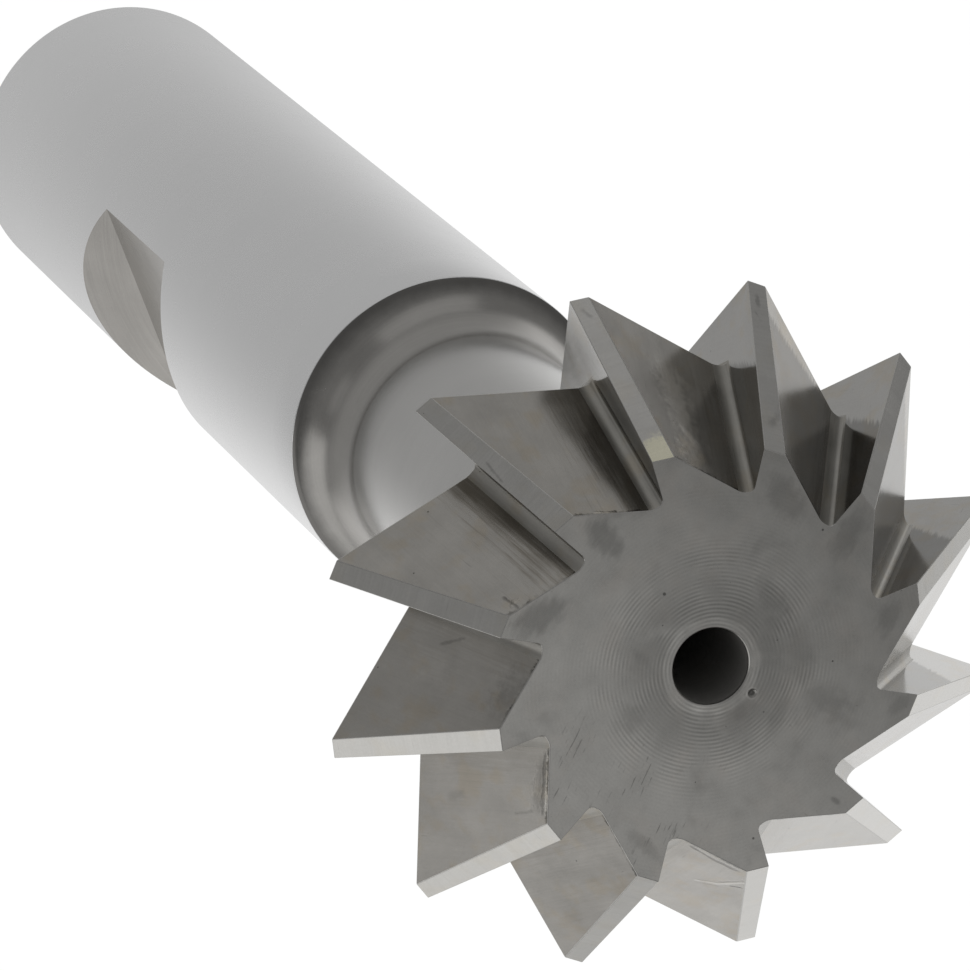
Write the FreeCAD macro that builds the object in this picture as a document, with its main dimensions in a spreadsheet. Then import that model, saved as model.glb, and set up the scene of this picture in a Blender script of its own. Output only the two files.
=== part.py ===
"""Double angle milling cutter with a cylindrical shank, one solid piece of hardened steel.

The cutter stands on the end of its shank with the axis on +Z. The origin is the centre
of the shank's end face. Tooth number one has its rake face in the +X half of the XZ
plane. Seen from the head end the rake faces look counter-clockwise, so the cutter turns
counter-clockwise as seen from that end. All lengths are millimetres.
"""
import FreeCAD, Part
import math
import os

import Sketcher

V = FreeCAD.Vector

doc = FreeCAD.newDocument("double_angle_cutter")

# Driving sizes. Angles are degrees.
SIZES = [
    ("overall_length", 149.225, "shank end face to head end face"),
    ("shank_diameter", 25.4, "cylindrical shank"),
    ("shank_length", 92.075, "shank end face to the sharp edge of the step"),
    ("shank_end_chamfer", 0.4, "45 degree edge break at the shank end"),
    ("step_fillet", 6.35, "concave radius from the shank edge to the neck"),
    ("neck_diameter", 19.05, "plain neck behind the head"),
    ("cutter_diameter", 50.8, "tip circle of the teeth"),
    ("front_width", 9.525, "tip plane to the head end face"),
    ("front_cone_angle", 45.0, "front cutting edge to the axis"),
    ("rear_cone_angle", 45.0, "rear cutting edge to the axis"),
    ("tooth_count", 12, "teeth, evenly spaced"),
    ("tooth_depth", 6.17, "tip circle to the gullet floor in the tip plane"),
    ("gullet_floor", 0.86, "width of the narrow floor beside the rake face"),
    ("gullet_floor_fall", 0.18, "fall of that floor away from the rake face"),
    ("front_root_tilt", 34.4, "front gullet floor to the axis"),
    ("rear_root_tilt", 28.0, "rear gullet floor to the axis"),
    ("land_width", 1.42, "width of the ground land at the tip"),
    ("land_relief", 9.2, "fall of the land behind the cutting edge"),
    ("centre_bore", 5.556, "blind bore in the head end face"),
    ("centre_bore_depth", 19.05, "depth of its straight wall"),
    ("drill_point", 118.0, "angle of the conical bottoms of both holes"),
    ("centre_bore_chamfer", 0.2, "edge break at its mouth"),
    ("shank_centre", 6.35, "mouth of the tapered centre hole in the shank end"),
    ("shank_centre_angle", 60.0, "angle of its cone"),
    ("shank_centre_pilot", 2.5, "pilot hole at the bottom of that cone"),
    ("shank_centre_depth", 7.0, "depth of the pilot hole's straight wall"),
    ("flat_depth", 3.45, "shank surface to the floor of the clamping flat"),
    ("flat_length", 17.1, "length of that floor along the shank"),
    ("flat_position", 45.8, "shank end face to the middle of the floor"),
    ("flat_azimuth", 94.0, "direction the flat faces, from +X"),
    ("flat_rear_wall", 54.5, "slope of its end wall towards the shank end"),
    ("flat_front_wall", 41.9, "slope of its end wall towards the head"),
    ("clear_run", 1.0, "how far cutting sketches stand off the blank"),
]

sheet = doc.addObject("Spreadsheet::Sheet", "Sizes")
for row, (alias, amount, note) in enumerate(SIZES, start=1):
    sheet.set("A%d" % row, alias)
    sheet.set("B%d" % row, str(amount))
    sheet.set("C%d" % row, note)
    sheet.setAlias("B%d" % row, alias)
doc.recompute()


def size(alias):
    """Return the number that a cell of the size sheet holds."""
    return float(getattr(sheet, alias))


def bound(text):
    """Turn words in angle brackets into references to the size sheet."""
    for alias, _amount, _note in SIZES:
        text = text.replace("<%s>" % alias, "Sizes.%s" % alias)
    return text


# Expressions that several features share. Angles without a unit are degrees.
TIP_Z = "(<overall_length> - <front_width>)"
TIP_R = "(<cutter_diameter> / 2)"
NECK_R = "(<neck_diameter> / 2)"
SHANK_R = "(<shank_diameter> / 2)"
FACE_R = "(%s - <front_width> * tan(<front_cone_angle>))" % TIP_R
ROOT_R = "(%s - <tooth_depth>)" % TIP_R
PITCH = "(360 / <tooth_count>)"
LAND_X = "(%s - <land_width> * sin(<land_relief>))" % TIP_R
LAND_Y = "(<land_width> * cos(<land_relief>))"
REAR_DROP = "((%s - %s) / tan(<rear_cone_angle>))" % (TIP_R, NECK_R)
FILLET_RISE = (
    "sqrt(pow(<step_fillet>; 2) - pow(<step_fillet> - %s + %s; 2))" % (SHANK_R, NECK_R)
)

body = doc.addObject("PartDesign::Body", "Cutter")
body.Label = "cutter"


def origin_feature(role):
    """Return the plane or axis of the body's origin that has this role."""
    return [item for item in body.Origin.OriginFeatures if item.Role == role][0]


def new_sketch(name, role, axis=None, angle=None, base=None):
    """Attach a sketch to an origin plane, turned and moved by bound expressions."""
    sketch = body.newObject("Sketcher::SketchObject", name)
    sketch.AttachmentSupport = [(origin_feature(role), "")]
    sketch.MapMode = "FlatFace"
    if axis is not None:
        sketch.AttachmentOffset = FreeCAD.Placement(V(0, 0, 0), FreeCAD.Rotation(axis, 1.0))
        sketch.setExpression("AttachmentOffset.Rotation.Angle", bound(angle))
    if base is not None:
        for letter, text in zip("xyz", base):
            if text is not None:
                sketch.setExpression("AttachmentOffset.Base.%s" % letter, bound(text))
    return sketch


def polygon(sketch, points):
    """Draw a closed polygon whose vertices lie at pairs of expressions.

    The lines are first drawn at the evaluated places, so every dimension starts on the
    right side of the sketch's origin, and each vertex then gets its two dimensions.
    """
    places = [V(value(u), value(v), 0) for u, v in points]
    count = len(places)
    for number in range(count):
        start = places[number]
        end = places[(number + 1) % count]
        sketch.addGeometry(Part.LineSegment(start, end), False)
    for number in range(count):
        follower = (number + 1) % count
        sketch.addConstraint(Sketcher.Constraint("Coincident", number, 2, follower, 1))
    for number, (u, v) in enumerate(points):
        bind_point(sketch, number, 1, u, v, "p%d" % number)


def bind_point(sketch, element, end, u, v, name):
    """Tie a point of a sketch to two expressions, measured from the sketch's origin."""
    for kind, text, letter in (("DistanceX", u, "u"), ("DistanceY", v, "v")):
        here = value(text)
        constraint = Sketcher.Constraint(kind, -1, 1, element, end, here)
        index = sketch.addConstraint(constraint)
        label = name + letter
        sketch.renameConstraint(index, label)
        sketch.setExpression("Constraints.%s" % label, bound(text))


def value(text):
    """Evaluate a bound expression at the present sizes."""
    result = sheet.evalExpression(bound(text).replace("Sizes.", ""))
    return float(getattr(result, "Value", result))


def cut(name, sketch, reverse=False, both=False):
    """Pocket through everything on one side or both sides of the sketch."""
    pocket = body.newObject("PartDesign::Pocket", name)
    pocket.Profile = sketch
    pocket.Type = "ThroughAll"
    pocket.Reversed = reverse
    if both:
        pocket.SideType = "Symmetric"
    return pocket


# Blank: front length of the shank, concave step, neck and the two cones of the head,
# turned about Z. It starts at the middle of the clamping flat.
profile = new_sketch("BlankProfile", "XZ_Plane")
step_edge = (SHANK_R, "<shank_length>")
step_top = (NECK_R, "<shank_length> + " + FILLET_RISE)
blank_points = [
    ("0", "<flat_position>"),
    (SHANK_R, "<flat_position>"),
    step_edge,
    step_top,
    (NECK_R, TIP_Z + " - " + REAR_DROP),
    (TIP_R, TIP_Z),
    (FACE_R, "<overall_length>"),
    ("0", "<overall_length>"),
]
corners = [V(value(x), value(y), 0) for x, y in blank_points]
fillet_centre = V(value(NECK_R) + size("step_fillet"), value(step_top[1]), 0)
for number in range(len(corners)):
    start = corners[number]
    end = corners[(number + 1) % len(corners)]
    if blank_points[number] == step_edge:
        low = math.atan2(start.y - fillet_centre.y, start.x - fillet_centre.x)
        circle = Part.Circle(fillet_centre, V(0, 0, 1), size("step_fillet"))
        profile.addGeometry(Part.ArcOfCircle(circle, math.pi, low + 2 * math.pi), False)
    else:
        profile.addGeometry(Part.LineSegment(start, end), False)
# The arc runs counter-clockwise, from the neck down to the shank's edge.
profile.addConstraint(Sketcher.Constraint("Coincident", 1, 2, 2, 2))
profile.addConstraint(Sketcher.Constraint("Coincident", 2, 1, 3, 1))
for number in (0, 3, 4, 5, 6):
    profile.addConstraint(Sketcher.Constraint("Coincident", number, 2, number + 1, 1))
profile.addConstraint(Sketcher.Constraint("Coincident", 7, 2, 0, 1))
for number, (x, y) in enumerate(blank_points):
    if (x, y) not in (step_edge, step_top):
        bind_point(profile, number, 1, x, y, "p%d" % number)
bind_point(profile, 2, 2, step_edge[0], step_edge[1], "edge")
bind_point(profile, 3, 1, step_top[0], step_top[1], "neck")
# The arc meets the neck smoothly: its centre stands level with its upper end.
profile.addConstraint(Sketcher.Constraint("Horizontal", 2, 3, 2, 1))
blank = body.newObject("PartDesign::Revolution", "Blank")
blank.Profile = profile
blank.ReferenceAxis = (profile, ["V_Axis"])
blank.Angle = 360.0
doc.recompute()

# Gullets and lands of one tooth space. Each is a straight pass of a milling cutter or of
# a grinding wheel, so its sketch stands square to the pass. The sketch's u axis lies in
# the rake plane of tooth one and its v axis is +Y. A point of the tip plane at (x, y)
# falls on the sketch at (x * cos(tilt), y).
ROOT_LAND_X = "(%s * cos%s + %s * sin%s)" % (LAND_X, PITCH, LAND_Y, PITCH)
ROOT_LAND_Y = "(%s * sin%s - %s * cos%s)" % (LAND_X, PITCH, LAND_Y, PITCH)
HEEL_R = "(%s - <gullet_floor_fall>)" % ROOT_R
BACK_SLOPE = "((%s - %s) / (%s - <gullet_floor>))" % (ROOT_LAND_X, HEEL_R, ROOT_LAND_Y)


def gullet(name, tilt, sign, base_run):
    """Cut the space between two teeth: rake wall, narrow floor and long straight back."""
    scale = "cos(%s)" % tilt
    along = "(%s)" % base_run
    base = (
        "%s * sin(%s) * -1" % (along, tilt),
        None,
        "%s %s %s * cos(%s)" % (TIP_Z, sign, along, tilt),
    )
    angle = "%s * %s" % ("-1" if sign == "+" else "1", tilt)
    sketch = new_sketch(name + "Section", "XY_Plane", V(0, 1, 0), angle, base)
    floor_u = "%s * %s" % (ROOT_R, scale)
    heel_u = "%s * %s" % (HEEL_R, scale)
    top_u = "(%s + <clear_run>) * %s" % (TIP_R, scale)
    far_v = "<gullet_floor> + (%s + <clear_run> - %s) / %s" % (TIP_R, HEEL_R, BACK_SLOPE)
    polygon(sketch, [(floor_u, "0"), (top_u, "0"), (top_u, far_v), (heel_u, "<gullet_floor>")])
    return cut(name, sketch, reverse=(sign == "-"))


def land(name, tilt, sign, base_run, span):
    """Grind the relieved land behind a cutting edge."""
    scale = "cos(%s)" % tilt
    along = "(%s)" % base_run
    base = (
        "%s * sin(%s) * -1" % (along, tilt),
        None,
        "%s %s %s * cos(%s)" % (TIP_Z, sign, along, tilt),
    )
    angle = "%s * %s" % ("-1" if sign == "+" else "1", tilt)
    sketch = new_sketch(name + "Section", "XY_Plane", V(0, 1, 0), angle, base)
    edge_u = "%s * %s" % (TIP_R, scale)
    back_u = "(%s - %s * tan(<land_relief>)) * %s" % (TIP_R, span, scale)
    clear_u = "(%s + <clear_run>) * %s" % (TIP_R, scale)
    back_v = "-1 * %s" % span
    polygon(sketch, [(edge_u, "0"), (back_u, back_v), (clear_u, back_v), (clear_u, "0")])
    return cut(name, sketch, reverse=(sign == "-"))


FRONT_RUN = (
    "<front_width> / cos(<front_root_tilt>) - %s * sin(<front_root_tilt>) + <clear_run>" % ROOT_R
)
front_gullet = gullet("FrontGullet", "<front_root_tilt>", "+", FRONT_RUN)

# The rear gullet runs out on the rear cone, ahead of the neck.
REAR_EXIT = "(<tooth_depth> / (tan(<rear_cone_angle>) - tan(<rear_root_tilt>)))"
REAR_RUN = (
    "%s / cos(<rear_root_tilt>) - %s * sin(<rear_root_tilt>) + <clear_run>" % (REAR_EXIT, ROOT_R)
)
rear_gullet = gullet("RearGullet", "<rear_root_tilt>", "-", REAR_RUN)

FRONT_LAND_RUN = (
    "<front_width> / cos(<front_cone_angle>) - %s * sin(<front_cone_angle>) + <clear_run>" % TIP_R
)
front_land = land(
    "FrontLand", "<front_cone_angle>", "+", FRONT_LAND_RUN, "(2 * <land_width>)"
)

REAR_LAND_RUN = (
    "%s * cos(<rear_cone_angle>) - %s * sin(<rear_cone_angle>)" % (REAR_DROP, NECK_R)
)
rear_land = land(
    "RearLand", "<rear_cone_angle>", "-", REAR_LAND_RUN, "(%s * sin%s)" % (ROOT_R, PITCH)
)
doc.recompute()

teeth = body.newObject("PartDesign::PolarPattern", "Teeth")
teeth.Originals = [front_gullet, rear_gullet, front_land, rear_land]
teeth.Axis = (origin_feature("Z_Axis"), [""])
teeth.Angle = 360.0
teeth.setExpression("Occurrences", bound("<tooth_count>"))
body.Tip = teeth
doc.recompute()

# Blind centre bore in the head end face, with a conical bottom and a broken edge.
BORE_R = "(<centre_bore> / 2)"
bore_profile = new_sketch("BoreProfile", "XZ_Plane")
BORE_FLOOR = "(<overall_length> - <centre_bore_depth>)"
polygon(
    bore_profile,
    [
        ("0", "<overall_length> + <clear_run>"),
        ("0", "%s - %s / tan(<drill_point> / 2)" % (BORE_FLOOR, BORE_R)),
        (BORE_R, BORE_FLOOR),
        (BORE_R, "<overall_length> - <centre_bore_chamfer>"),
        (BORE_R + " + <centre_bore_chamfer>", "<overall_length>"),
        (BORE_R + " + <centre_bore_chamfer>", "<overall_length> + <clear_run>"),
    ],
)
bore = body.newObject("PartDesign::Groove", "CentreBore")
bore.Profile = bore_profile
bore.ReferenceAxis = (bore_profile, ["V_Axis"])
bore.Angle = 360.0
doc.recompute()

# Rear length of the shank, with the broken edge at its end. The wall stays two faces,
# one to each side of the middle of the clamping flat.
tail_profile = new_sketch("TailProfile", "XZ_Plane")
polygon(
    tail_profile,
    [
        ("0", "0"),
        (SHANK_R + " - <shank_end_chamfer>", "0"),
        (SHANK_R, "<shank_end_chamfer>"),
        (SHANK_R, "<flat_position>"),
        ("0", "<flat_position>"),
    ],
)
tail = body.newObject("PartDesign::Revolution", "ShankTail")
tail.Profile = tail_profile
tail.ReferenceAxis = (tail_profile, ["V_Axis"])
tail.Angle = 360.0
tail.Refine = False
doc.recompute()

# Tapered centre hole in the shank's end face, with its pilot hole.
CENTRE_R = "(<shank_centre> / 2)"
PILOT_R = "(<shank_centre_pilot> / 2)"
CONE_DEPTH = "((%s - %s) / tan(<shank_centre_angle> / 2))" % (CENTRE_R, PILOT_R)
centre_profile = new_sketch("CentreProfile", "XZ_Plane")
polygon(
    centre_profile,
    [
        ("0", "-1 * <clear_run>"),
        (CENTRE_R, "-1 * <clear_run>"),
        (CENTRE_R, "0"),
        (PILOT_R, CONE_DEPTH),
        (PILOT_R, "<shank_centre_depth>"),
        ("0", "<shank_centre_depth> + %s / tan(<drill_point> / 2)" % PILOT_R),
    ],
)
shank_centre = body.newObject("PartDesign::Groove", "ShankCentre")
shank_centre.Profile = centre_profile
shank_centre.ReferenceAxis = (centre_profile, ["V_Axis"])
shank_centre.Angle = 360.0
shank_centre.Refine = False
doc.recompute()

# Clamping flat on the shank, with sloping end walls. Its section stands in the plane of
# the axis that the flat faces along, and is cut right across the shank.
flat_section = new_sketch("FlatSection", "XZ_Plane", V(0, 1, 0), "<flat_azimuth>")
FLAT_R = "(%s - <flat_depth>)" % SHANK_R
OUT_R = "(%s + <clear_run>)" % SHANK_R
FLAT_LOW = "(<flat_position> - <flat_length> / 2)"
FLAT_HIGH = "(<flat_position> + <flat_length> / 2)"
WALL_RISE = "(<flat_depth> + <clear_run>)"
polygon(
    flat_section,
    [
        (FLAT_R, FLAT_LOW),
        (OUT_R, "%s - %s * tan(<flat_rear_wall>)" % (FLAT_LOW, WALL_RISE)),
        (OUT_R, "%s + %s * tan(<flat_front_wall>)" % (FLAT_HIGH, WALL_RISE)),
        (FLAT_R, FLAT_HIGH),
    ],
)
flat = cut("ClampingFlat", flat_section, both=True)
flat.Refine = False
body.Tip = flat
doc.recompute()

# Each cut must have taken metal away, the shank's rear length must have added some, and
# no feature may have failed.
head_stages = [
    ("blank", blank),
    ("front gullet", front_gullet),
    ("rear gullet", rear_gullet),
    ("front land", front_land),
    ("rear land", rear_land),
    ("teeth", teeth),
    ("centre bore", bore),
]
shank_stages = [
    ("shank tail", tail),
    ("shank centre", shank_centre),
    ("clamping flat", flat),
]
for stages in (head_stages, shank_stages):
    for (_name, before), (name, after) in zip(stages, stages[1:]):
        if not after.Shape.Volume < before.Shape.Volume:
            raise RuntimeError("the %s removed nothing" % name)
if not tail.Shape.Volume > bore.Shape.Volume:
    raise RuntimeError("the shank tail added nothing")
for item in doc.Objects:
    if "Invalid" in item.State or "Error" in item.State:
        raise RuntimeError("%s failed: %s" % (item.Label, item.State))
for piece in (body,):
    if piece.Shape.isNull() or not piece.Shape.isValid():
        raise RuntimeError("%s has no valid shape" % piece.Label)
    if len(piece.Shape.Solids) != 1:
        raise RuntimeError("%s is not one solid" % piece.Label)

os.makedirs("parts", exist_ok=True)
for piece in (body,):
    piece.Shape.exportStep(os.path.join("parts", piece.Label + ".step"))

for name, stage in head_stages + shank_stages:
    print("%-14s volume %.2f mm3" % (name, stage.Shape.Volume))
box = body.Shape.BoundBox
print("box %.3f %.3f %.3f to %.3f %.3f %.3f" % (
    box.XMin, box.YMin, box.ZMin, box.XMax, box.YMax, box.ZMax))
print("faces %d, edges %d" % (len(body.Shape.Faces), len(body.Shape.Edges)))
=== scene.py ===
"""Double angle milling cutter: the looks of its steel, and the studio it is seen in.

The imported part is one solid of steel. Two closed surfaces stand for it here: the toothed
head with its blind bore, and the shank with its neck, concave step and clamping flat. Both
are worked out from the same sizes as the part, in millimetres, with the shank's end face
at z = 0 and the axis on +Z, and are scaled to metres at the end. Tooth one has its rake
face in the +X half of the XZ plane, and the others follow every thirty degrees.
"""

import logging
import math
from dataclasses import dataclass, field
from enum import IntEnum
from typing import Optional, Union

import bmesh
import bpy
import numpy as np
from mathutils import Matrix, Vector


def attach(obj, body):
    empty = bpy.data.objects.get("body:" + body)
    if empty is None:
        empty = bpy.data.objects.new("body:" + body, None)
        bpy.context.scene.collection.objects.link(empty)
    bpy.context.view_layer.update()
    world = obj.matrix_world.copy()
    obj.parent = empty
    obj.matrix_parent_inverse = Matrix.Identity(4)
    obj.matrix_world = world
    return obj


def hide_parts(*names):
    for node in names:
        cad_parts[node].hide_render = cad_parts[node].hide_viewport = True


Array = np.ndarray
Rgb = tuple[float, float, float]
Point = tuple[float, float, float]

LOG = logging.getLogger("cutter")
MM = 0.001
TIP_HEIGHT = 139.7
END_HEIGHT = 149.225
# Points nearer than MERGE become one, and faces thinner than SLIVER go, in millimetres.
MERGE = 2e-4
SLIVER = 1e-4
# How far apart the maps of two teeth lie along u, in millimetres.
TOOTH_STEP = 100.0

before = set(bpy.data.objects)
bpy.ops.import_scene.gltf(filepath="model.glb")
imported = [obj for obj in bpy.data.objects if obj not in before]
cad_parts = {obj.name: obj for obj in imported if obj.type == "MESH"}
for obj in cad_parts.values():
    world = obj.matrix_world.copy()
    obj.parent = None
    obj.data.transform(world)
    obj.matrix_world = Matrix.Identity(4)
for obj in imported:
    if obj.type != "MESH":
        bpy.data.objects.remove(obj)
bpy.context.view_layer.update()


class Zone(IntEnum):
    """How each kind of surface on the cutter is cut."""

    FRONT_LAND = 0
    REAR_LAND = 1
    FRONT_BACK = 2
    REAR_BACK = 3
    FRONT_RAKE = 4
    REAR_RAKE = 5
    FRONT_FLOOR = 6
    REAR_FLOOR = 7
    END_FACE = 8
    BORE = 9
    HEAD_CONE = 10
    EDGE = 11
    SHANK = 12
    STEP = 13
    NECK = 14
    FLAT_FLOOR = 15
    FLAT_WALL = 16
    SHANK_END = 17


# Geometry helpers -------------------------------------------------------------------


def turn(points: Array, degrees: float) -> Array:
    """Turn points about Z: x cos a - y sin a, x sin a + y cos a, z as it was.

    Args:
        points: Array whose last axis holds x, y and z.
        degrees: Angle, counter-clockwise seen from +Z.

    Returns:
        The turned points.
    """
    a = math.radians(degrees)
    spin = np.array([[math.cos(a), math.sin(a), 0], [-math.sin(a), math.cos(a), 0], [0, 0, 1]])
    return np.asarray(points, float) @ spin


def plane(point: Array, first: Array, second: Array) -> Array:
    """Plane through a point along two directions.

    Args:
        point: A point on it.
        first: One direction in it.
        second: Another direction in it.

    Returns:
        Its unit normal, and as a fourth number its distance from zero along that.
    """
    normal = np.cross(first, second)
    normal = normal / np.linalg.norm(normal)
    return np.append(normal, normal @ point)


def meet(first: Array, second: Array, third: Array) -> Array:
    """Corner where three planes meet: its product with each normal is that plane's distance."""
    rows = np.array([first, second, third])
    return np.linalg.solve(rows[:, :3], rows[:, 3])


def ring(radius: float, angles: Array, height: Union[float, Array]) -> Array:
    """Points on a circle about Z, at angles in degrees, all at one height or each at its own."""
    a = np.radians(angles)
    return np.stack([radius * np.cos(a), radius * np.sin(a), np.full(a.shape, height)], axis=-1)


def read(
    items: bpy.types.bpy_prop_collection, name: str, kind: type = np.int32, width: int = 1
) -> Array:
    """Read one property of every item of a mesh.

    Args:
        items: The items, such as the mesh's faces.
        name: Name of the property.
        kind: Type of its numbers.
        width: How many numbers an item has.

    Returns:
        All the numbers in one row.
    """
    out = np.empty(len(items) * width, kind)
    items.foreach_get(name, out)
    return out


def bevel(
    work: bmesh.types.BMesh, edges: list[bmesh.types.BMEdge], width: float, segments: int,
    zone: Zone,
) -> None:
    """Round edges of a closed surface, and clear the slivers that this leaves.

    Args:
        work: The surface.
        edges: The edges.
        width: Width of the rounding on each side of an edge.
        segments: How many faces lie across it.
        zone: Zone of the new faces.
    """
    bmesh.ops.bevel(
        work, geom=edges, offset=width, offset_type="OFFSET", segments=segments, profile=0.5,
        affect="EDGES", clamp_overlap=False, material=int(zone),
    )
    bmesh.ops.remove_doubles(work, verts=work.verts, dist=MERGE)
    bmesh.ops.dissolve_degenerate(work, edges=work.edges, dist=SLIVER)


@dataclass
class Skin:
    """Faces of one closed surface, gathered before they become a mesh.

    Attributes:
        points: Blocks of points, in millimetres.
        faces: Point numbers of each face.
        zones: Zone of each face.
        teeth: Tooth number of each face, or zero.
        shade_angle: Angle between faces from which an edge is shaded as sharp, in degrees.
        edge_angle: Angle between two zones above which their edge is rounded, in degrees.
        root_faces: How many faces lie across the rounding beside a gullet's floor.
        edge_faces: How many lie across that of a sharp edge.
        upward: Share of z in the normal above which a root's face is one of the end face.
        downward: Share of z below which it is one of the rear cone.
    """

    points: list[Array] = field(default_factory=list)
    faces: list[list[int]] = field(default_factory=list)
    zones: list[int] = field(default_factory=list)
    teeth: list[int] = field(default_factory=list)
    shade_angle: float = 24.0
    edge_angle: float = 16.0
    root_faces: int = 4
    edge_faces: int = 2
    upward: float = 0.99
    downward: float = -0.6

    def first_number(self) -> int:
        """Number that the next point gets."""
        return sum(len(block) for block in self.points)

    def polygon(self, corners: list[Array], zone: Zone, tooth: int = 0) -> None:
        """Add one flat face.

        Args:
            corners: Its corners in order.
            zone: How it is cut.
            tooth: The tooth that it belongs to.
        """
        start = self.first_number()
        block = np.vstack([np.atleast_2d(c) for c in corners])
        self.points.append(block)
        self.faces.append(list(range(start, start + len(block))))
        self.zones.append(int(zone))
        self.teeth.append(tooth)

    def grid(self, surface: Array, zone: Union[Zone, Array], tooth: int = 0) -> None:
        """Add a surface given on a grid of two parameters, as rows by columns by x, y, z.

        Args:
            surface: The grid of points.
            zone: How it is cut, for the whole grid or for each of its bands of faces.
            tooth: The tooth that it belongs to.
        """
        rows, columns, _ = surface.shape
        number = np.arange(rows * columns).reshape(rows, columns) + self.first_number()
        quads = np.stack(
            [number[:-1, :-1], number[:-1, 1:], number[1:, 1:], number[1:, :-1]], axis=-1
        ).reshape(-1, 4)
        bands = np.broadcast_to(np.asarray(zone, int), (rows - 1,))
        self.points.append(surface.reshape(-1, 3))
        self.faces.extend(quads.tolist())
        self.zones.extend(np.repeat(bands, columns - 1).tolist())
        self.teeth.extend([tooth] * len(quads))

    def mesh(
        self, name: str, smooth: set[Zone], edge_break: float = 0.0, root_round: float = 0.0
    ) -> bpy.types.Mesh:
        """Join the faces into one closed mesh, still in millimetres.

        Args:
            name: Name of the mesh.
            smooth: Zones that are shaded as curved surfaces.
            edge_break: Width of the rounding on sharp edges between flat zones, or zero.
            root_round: Width of the rounding on both sides of a gullet's floor.

        Returns:
            The mesh. Its material numbers are the zones, and it keeps its tooth numbers.
        """
        mesh = bpy.data.meshes.new(name)
        mesh.from_pydata(np.vstack(self.points).tolist(), [], self.faces)
        mesh.polygons.foreach_set("material_index", np.array(self.zones, np.int32))
        teeth = mesh.attributes.new("tooth", "INT", "FACE")
        teeth.data.foreach_set("value", np.array(self.teeth, np.int32))
        work = bmesh.new()
        work.from_mesh(mesh)
        bmesh.ops.remove_doubles(work, verts=work.verts, dist=MERGE)
        bmesh.ops.dissolve_degenerate(work, edges=work.edges, dist=0.1 * SLIVER)
        bmesh.ops.recalc_face_normals(work, faces=work.faces)
        if edge_break:
            self.round_edges(work, edge_break, root_round)
        work.to_mesh(mesh)
        work.free()
        zones = read(mesh.polygons, "material_index")
        mesh.set_sharp_from_angle(angle=math.radians(self.shade_angle))
        mesh.polygons.foreach_set("use_smooth", np.isin(zones, [int(z) for z in smooth]))
        return mesh

    def round_edges(self, work: bmesh.types.BMesh, width: float, root_width: float) -> None:
        """Round both sides of the gullets' floors, and then every sharp edge by a little.

        The first rounding leaves small faces where it meets the end face and the rear cone,
        and these are given back to them before the edges are chosen.

        Args:
            work: The closed surface.
            width: Width of the rounding on sharp edges.
            root_width: Width of the rounding beside the gullets' floors.
        """
        pairs = [
            {int(floor), int(side)}
            for floor, sides in (
                (Zone.FRONT_FLOOR, (Zone.FRONT_RAKE, Zone.FRONT_BACK)),
                (Zone.REAR_FLOOR, (Zone.REAR_RAKE, Zone.REAR_BACK)),
            )
            for side in sides
        ]
        chosen = [e for e in work.edges if {f.material_index for f in e.link_faces} in pairs]
        bevel(work, chosen, root_width, self.root_faces, Zone.FRONT_FLOOR)
        for face in work.faces:
            if face.material_index == int(Zone.FRONT_FLOOR):
                face.normal_update()
                if face.normal.z > self.upward:
                    face.material_index = int(Zone.END_FACE)
                elif face.normal.z < self.downward:
                    face.material_index = int(Zone.HEAD_CONE)
        curved = (int(Zone.BORE), int(Zone.HEAD_CONE))
        sharp = [
            edge
            for edge in work.edges
            if len(edge.link_faces) == 2
            and edge.link_faces[0].material_index != edge.link_faces[1].material_index
            and edge.calc_face_angle(0.0) > math.radians(self.edge_angle)
            and all(face.material_index not in curved for face in edge.link_faces)
        ]
        bevel(work, sharp, width, self.edge_faces, Zone.EDGE)
        bmesh.ops.recalc_face_normals(work, faces=work.faces)


def lay_out(
    mesh: bpy.types.Mesh, frames: dict[Zone, tuple[Array, Array, Array]], pitch: float
) -> None:
    """Give a mesh the map that the cutting marks follow, in millimetres.

    Along the map's u runs the direction in which a zone is cut, and along its v the way
    across it: u = (p - origin) . along + TOOTH_STEP (tooth + 1), v = (p - origin) . across,
    with p turned back into tooth one's frame.

    Args:
        mesh: Mesh in millimetres with its zones and teeth.
        frames: Origin, along and across of each zone. Other zones take x and y.
        pitch: Angle from one tooth to the next, in degrees.
    """
    totals = read(mesh.polygons, "loop_total")
    zone = np.repeat(read(mesh.polygons, "material_index"), totals)
    tooth = np.repeat(read(mesh.attributes["tooth"].data, "value"), totals)
    corner = read(mesh.loops, "vertex_index")
    point = read(mesh.vertices, "co", float, 3).reshape(-1, 3)[corner]
    a = np.radians(-pitch * tooth)
    back = np.stack([
        point[:, 0] * np.cos(a) - point[:, 1] * np.sin(a),
        point[:, 0] * np.sin(a) + point[:, 1] * np.cos(a),
        point[:, 2],
    ], axis=-1)
    uv = point[:, :2].copy()
    for kind, (origin, along, across) in frames.items():
        here = zone == int(kind)
        uv[here, 0] = (back[here] - origin) @ along + TOOTH_STEP * (tooth[here] + 1)
        uv[here, 1] = (back[here] - origin) @ across
    layer = mesh.uv_layers.new(name="cutting")
    layer.data.foreach_set("uv", uv.ravel())


# Shader helpers ---------------------------------------------------------------------


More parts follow.
